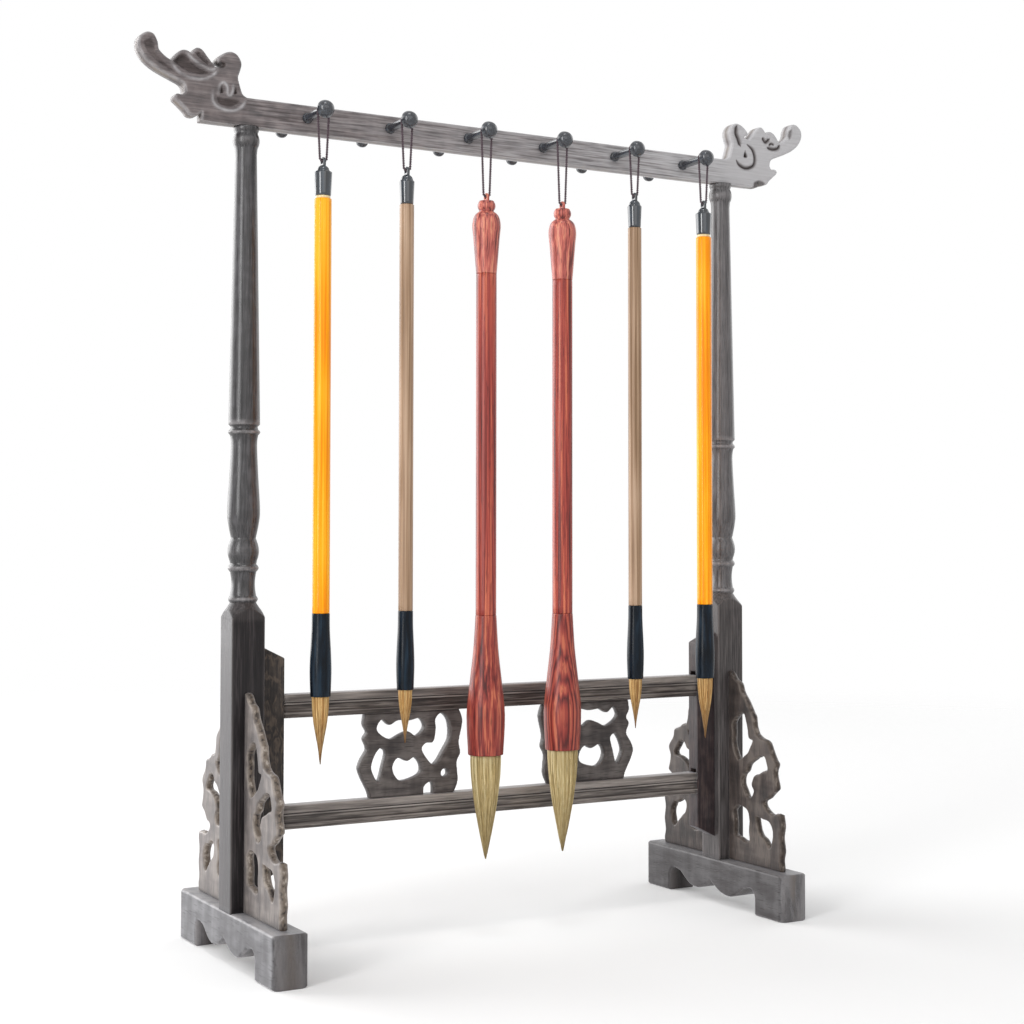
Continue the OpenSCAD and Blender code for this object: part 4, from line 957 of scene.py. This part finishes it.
def makeHolder(number, label, material, slot):
    # ferrule or bell: up the inside of the mouth's wall, round its lip, and up the outside
    node = f"brush_{number}_{label}"
    profile, centre = turnedProfile(node)
    isCeiling = np.abs(profile[:, 1] - profile[0, 1] - mouthShape["ceiling"]) < 0.05
    outside = denser(profile[~isCeiling], 1.0)
    r, z = outside[0]
    inner, lip = r - mouthShape["wall"], mouthShape["lip"]
    mouth = [(inner, z + mouthShape["depth"]), (inner, z + 1), (inner, z + lip), (inner + lip, z), (r - lip, z)]
    surface = turned(np.vstack([mouth, [(r, z + lip)], outside[1:]]), centre)
    putPiece(node, "_turning", surface, material, body=f"brush_{number}", slot=slot)


# hair: a grooved core under strands that follow the same outline, each thinning to its own tip.
# The outline gives the tuft's width at shares of the way from the mouth to the tip
hair = {
    "ferrule": {"outline": [(0, 1.0), (0.2, 0.94), (0.4, 0.77), (0.6, 0.47), (0.8, 0.19), (0.92, 0.07), (1, 0.015)],
                "strands": 280, "thick": 0.16, "stray": 0.02},
    "bell": {"outline": [(0, 0.96), (0.12, 0.95), (0.25, 0.89), (0.5, 0.68), (0.75, 0.37), (0.92, 0.13), (1, 0.01)],
             "strands": 560, "thick": 0.19, "stray": 0.015},
}
hairCore = {"share": 0.93, "rings": 40, "around": 60, "grooves": (11, 17, 23), "grooveDepth": 0.035}
strandShape = {"root": 3.0, "steps": 9, "corners": 3, "goldenTurn": 0.618034, "shortest": 0.42}


def makeTuft(number, holder, material, slot):
    s, c, root = hair[holder], hairCore, strandShape["root"]
    node = f"brush_{number}_tuft"
    low, high = cadBounds(node)
    centre = np.append((low + high)[:2] / 2, 0)
    radius = (high - low)[0] / 2
    mouth = cadBounds(f"brush_{number}_{holder}")[0][2]
    length = mouth - low[2]

    def width(t):
        return radius * np.interp(t, *np.transpose(s["outline"]))

    t = np.linspace(1, -root / length, c["rings"])[:, None]
    angle = roundAngles(c["around"])
    groove = sum(np.cos(k * angle + p) for k, p in zip(c["grooves"], rng.uniform(0, 6, 3))) / 3
    r = c["share"] * width(t) * (1 + c["grooveDepth"] * groove)
    core = closedTube(polarPoints(r, angle, mouth - t * length) + centre, centre + [0, 0, low[2]],
                      centre + [0, 0, mouth + root])
    coreTone = withPoles(0.12 + 0.1 * groove + 0 * r, 0.1, 0.1)
    coreReach = withPoles(np.clip(t, 0, 1) + 0 * r, 1, 0)
    count, steps, corners = s["strands"], strandShape["steps"], strandShape["corners"]
    spin = 2 * np.pi * (np.arange(count) * strandShape["goldenTurn"] + rng.uniform(-0.1, 0.1, count))[:, None]
    layer = rng.uniform(0.9, 1.0, count)[:, None]
    tip = 1 - strandShape["shortest"] * rng.uniform(0, 1, count)[:, None] ** 2.2
    sway = rng.normal(0, 0.1, (count, 1))
    step = np.linspace(1, 0, steps)[None]  # from the tip up to the root
    t = tip * step - (1 - step) * root / length
    stray = s["stray"] * radius * rng.normal(0, 1, (count, 1)) * step ** 3
    r = layer * width(t) * 0.985 + np.abs(stray)
    a = spin + sway * step + 0.03 * np.sin(6 * step + spin)
    thick = s["thick"] * (1.05 - 0.85 * step ** 2)
    path = polarPoints(r, a, mouth - t * length)
    corner = np.radians([90, 210, 330]) + a[:, :, None]
    points = path[:, :, None] + thick[:, :, None, None] * polarPoints(1, corner, 0)
    perStrand = steps * corners
    first = (np.arange(count) * perStrand)[:, None]
    tube = (first[:, :, None] + ringFaces(steps, corners)[None]).reshape(-1, 4)
    ends = np.concatenate([first + [2, 1, 0], first + perStrand - [3, 2, 1]])
    tone = np.repeat(rng.uniform(0.0, 0.5, count), perStrand)
    reach = np.repeat(np.clip(t, 0, 1).ravel(), corners)
    surface = joined(core, (points.reshape(-1, 3) + centre, [tube, ends]))
    attributes = {"tone": np.append(coreTone, tone), "reach": np.append(coreReach, reach)}
    putPiece(node, "_hair", surface, material, attributes, body=f"brush_{number}", slot=slot)


# hanging loops: two plies wound round a closed path, over the peg and through the eye
cord = {"topRadius": 2.85, "lowRadius": 1.7, "lowLift": 1.613, "plyOffset": 0.3, "plyRadius": 0.345, "lay": 2.3,
        "arcSteps": 60, "steps": 260, "around": 8}


def makeLoop(number):
    s = cord
    eye, peg = hinges[f"brush_{number}_tilt"], hinges[f"loop_{number}_swing"]
    drop = peg[2] - eye[2]
    lean = math.asin((s["lowRadius"] - s["topRadius"]) / (drop - s["lowLift"]))
    over = np.linspace(lean, math.pi - lean, s["arcSteps"])
    under = np.linspace(math.pi - lean, 2 * math.pi + lean, s["arcSteps"])
    arcs = [np.stack([radius * np.cos(turn), lift + radius * np.sin(turn)], -1)
            for radius, lift, turn in ((s["topRadius"], drop, over), (s["lowRadius"], s["lowLift"], under))]
    path = np.vstack(arcs + [arcs[0][:1]])
    walked = np.append(0, np.cumsum(np.hypot(*np.diff(path, axis=0).T)))
    share = np.arange(s["steps"]) / s["steps"]
    x, z = (np.interp(share * walked[-1], walked, path[:, k]) for k in (0, 1))
    dx, dz = np.roll(x, -1) - np.roll(x, 1), np.roll(z, -1) - np.roll(z, 1)
    size = np.hypot(dx, dz)
    out = np.stack([dz / size, 0 * x, -dx / size], -1)  # away from the loop's inside

    def aside(angle, outward):  # way off the path at an angle round it
        return np.cos(angle)[..., None] * outward + np.sin(angle)[..., None] * [0, 1.0, 0]

    turns = round(walked[-1] / s["lay"])
    plies = []
    for ply in (0, math.pi):
        middle = np.stack([x, 0 * x, z], -1) + s["plyOffset"] * aside(2 * np.pi * turns * share + ply, out)
        rings = middle[:, None] + s["plyRadius"] * aside(roundAngles(s["around"]), out[:, None])
        plies.append((rings.reshape(-1, 3) + eye, [ringFaces(s["steps"], s["around"], closed=True)]))
    putPiece(f"brush_{number}_loop", "_cord", joined(*plies), cotton, body=f"loop_{number}", slot="loop_cord")


for number, kind in enumerate(brushKinds, 1):
    makeLoop(number)
    if kind == "red":
        makeTop(number, "finial", sapWood, "rosewood")
        makeShaft(number, "handle", streakedWood, "rosewood")
        makeHolder(number, "bell", flamedWood if number == 4 else deepWood, "rosewood")
        makeTuft(number, "bell", largeHair, "pale_hair")
    else:
        makeTop(number, "cap", brightHorn, "black_horn")
        if kind == "orange":
            makeShaft(number, "collar", bone, "pale_bone")
        makeShaft(number, "handle", *canes[kind])
        makeHolder(number, "ferrule", horn, "black_horn")
        makeTuft(number, "ferrule", smallHair, "brown_hair")
    print("brush", number, "made:", kind)

# studio: a pale floor that fades into a white surround, a large soft light behind on the left, a narrow one
# at the front left, a small one above, and weak ones in front and on the right. Lamps: place, size and watts
studio = {"floor": "#fbfbfb", "fadeFrom": 700, "fadeTo": 1500, "ambient": 0.55, "aim": (0, 0, 0.2),
          "lamps": {"left": ((-1.0, 1.5, 0.75), (1.7, 1.5), 31.0), "front": ((-0.5, -1.9, 1.1), (1.8, 1.4), 7.0),
                    "right": ((1.5, 0.3, 0.8), (1.0, 1.2), 4.0), "side": ((-1.75, -0.85, 0.7), (0.5, 1.4), 17.0),
                    "top": ((-0.3, -0.5, 1.9), (0.45, 0.35), 4.0)}}


def makeStudio():
    for name, (place, size, watts) in studio["lamps"].items():
        data = bpy.data.lights.new(name + "_softbox", "AREA")
        data.shape = "RECTANGLE"
        data.size, data.size_y = size
        data.energy = watts
        lamp = addObject(name + "_softbox", data)
        lamp.location = place
        aim = np.array(studio["aim"]) - place
        lamp.rotation_euler = (math.acos(-aim[2] / np.linalg.norm(aim)), 0, math.atan2(aim[1], aim[0]) - math.pi / 2)
        lamp.visible_camera = False
    reach = studio["fadeTo"] * mm
    mesh = bpy.data.meshes.new("floor")
    mesh.from_pydata([(x * reach, y * reach, 0) for x, y in ((-1, -1), (1, -1), (1, 1), (-1, 1))], [], [(0, 1, 2, 3)])
    floor = addObject("floor", mesh)
    material, tree, place, _ = startMaterial("pale_floor", {"Base Color": studio["floor"], "Roughness": 0.9,
                                                            "Specular IOR Level": 0.1})
    away = addNode(tree, "VectorMath", [place], operation="LENGTH", out="Value")
    fade = addNode(tree, "MapRange", [away, studio["fadeFrom"] * mm, reach, 1.0, 0.0], interpolation_type="SMOOTHSTEP")
    mesh.materials.append(finishMaterial(material, {"Alpha": fade}))
    world = bpy.data.worlds.new("studio")
    bpy.context.scene.world = world
    world.use_nodes = True
    tree = world.node_tree
    path = tree.nodes.new("ShaderNodeLightPath").outputs
    seen = path["Is Camera Ray"]
    for ray in ("Is Glossy Ray", "Is Transmission Ray"):
        seen = addNode(tree, "Math", [seen, path[ray]], operation="MAXIMUM")
    strength = addNode(tree, "MapRange", [seen, 0.0, 1.0, studio["ambient"], 1.0])
    background = tree.nodes["Background"]
    background.inputs["Color"].default_value = (1, 1, 1, 1)
    tree.links.new(strength, background.inputs["Strength"])
    bpy.context.scene.view_settings.view_transform = "Standard"


makeStudio()
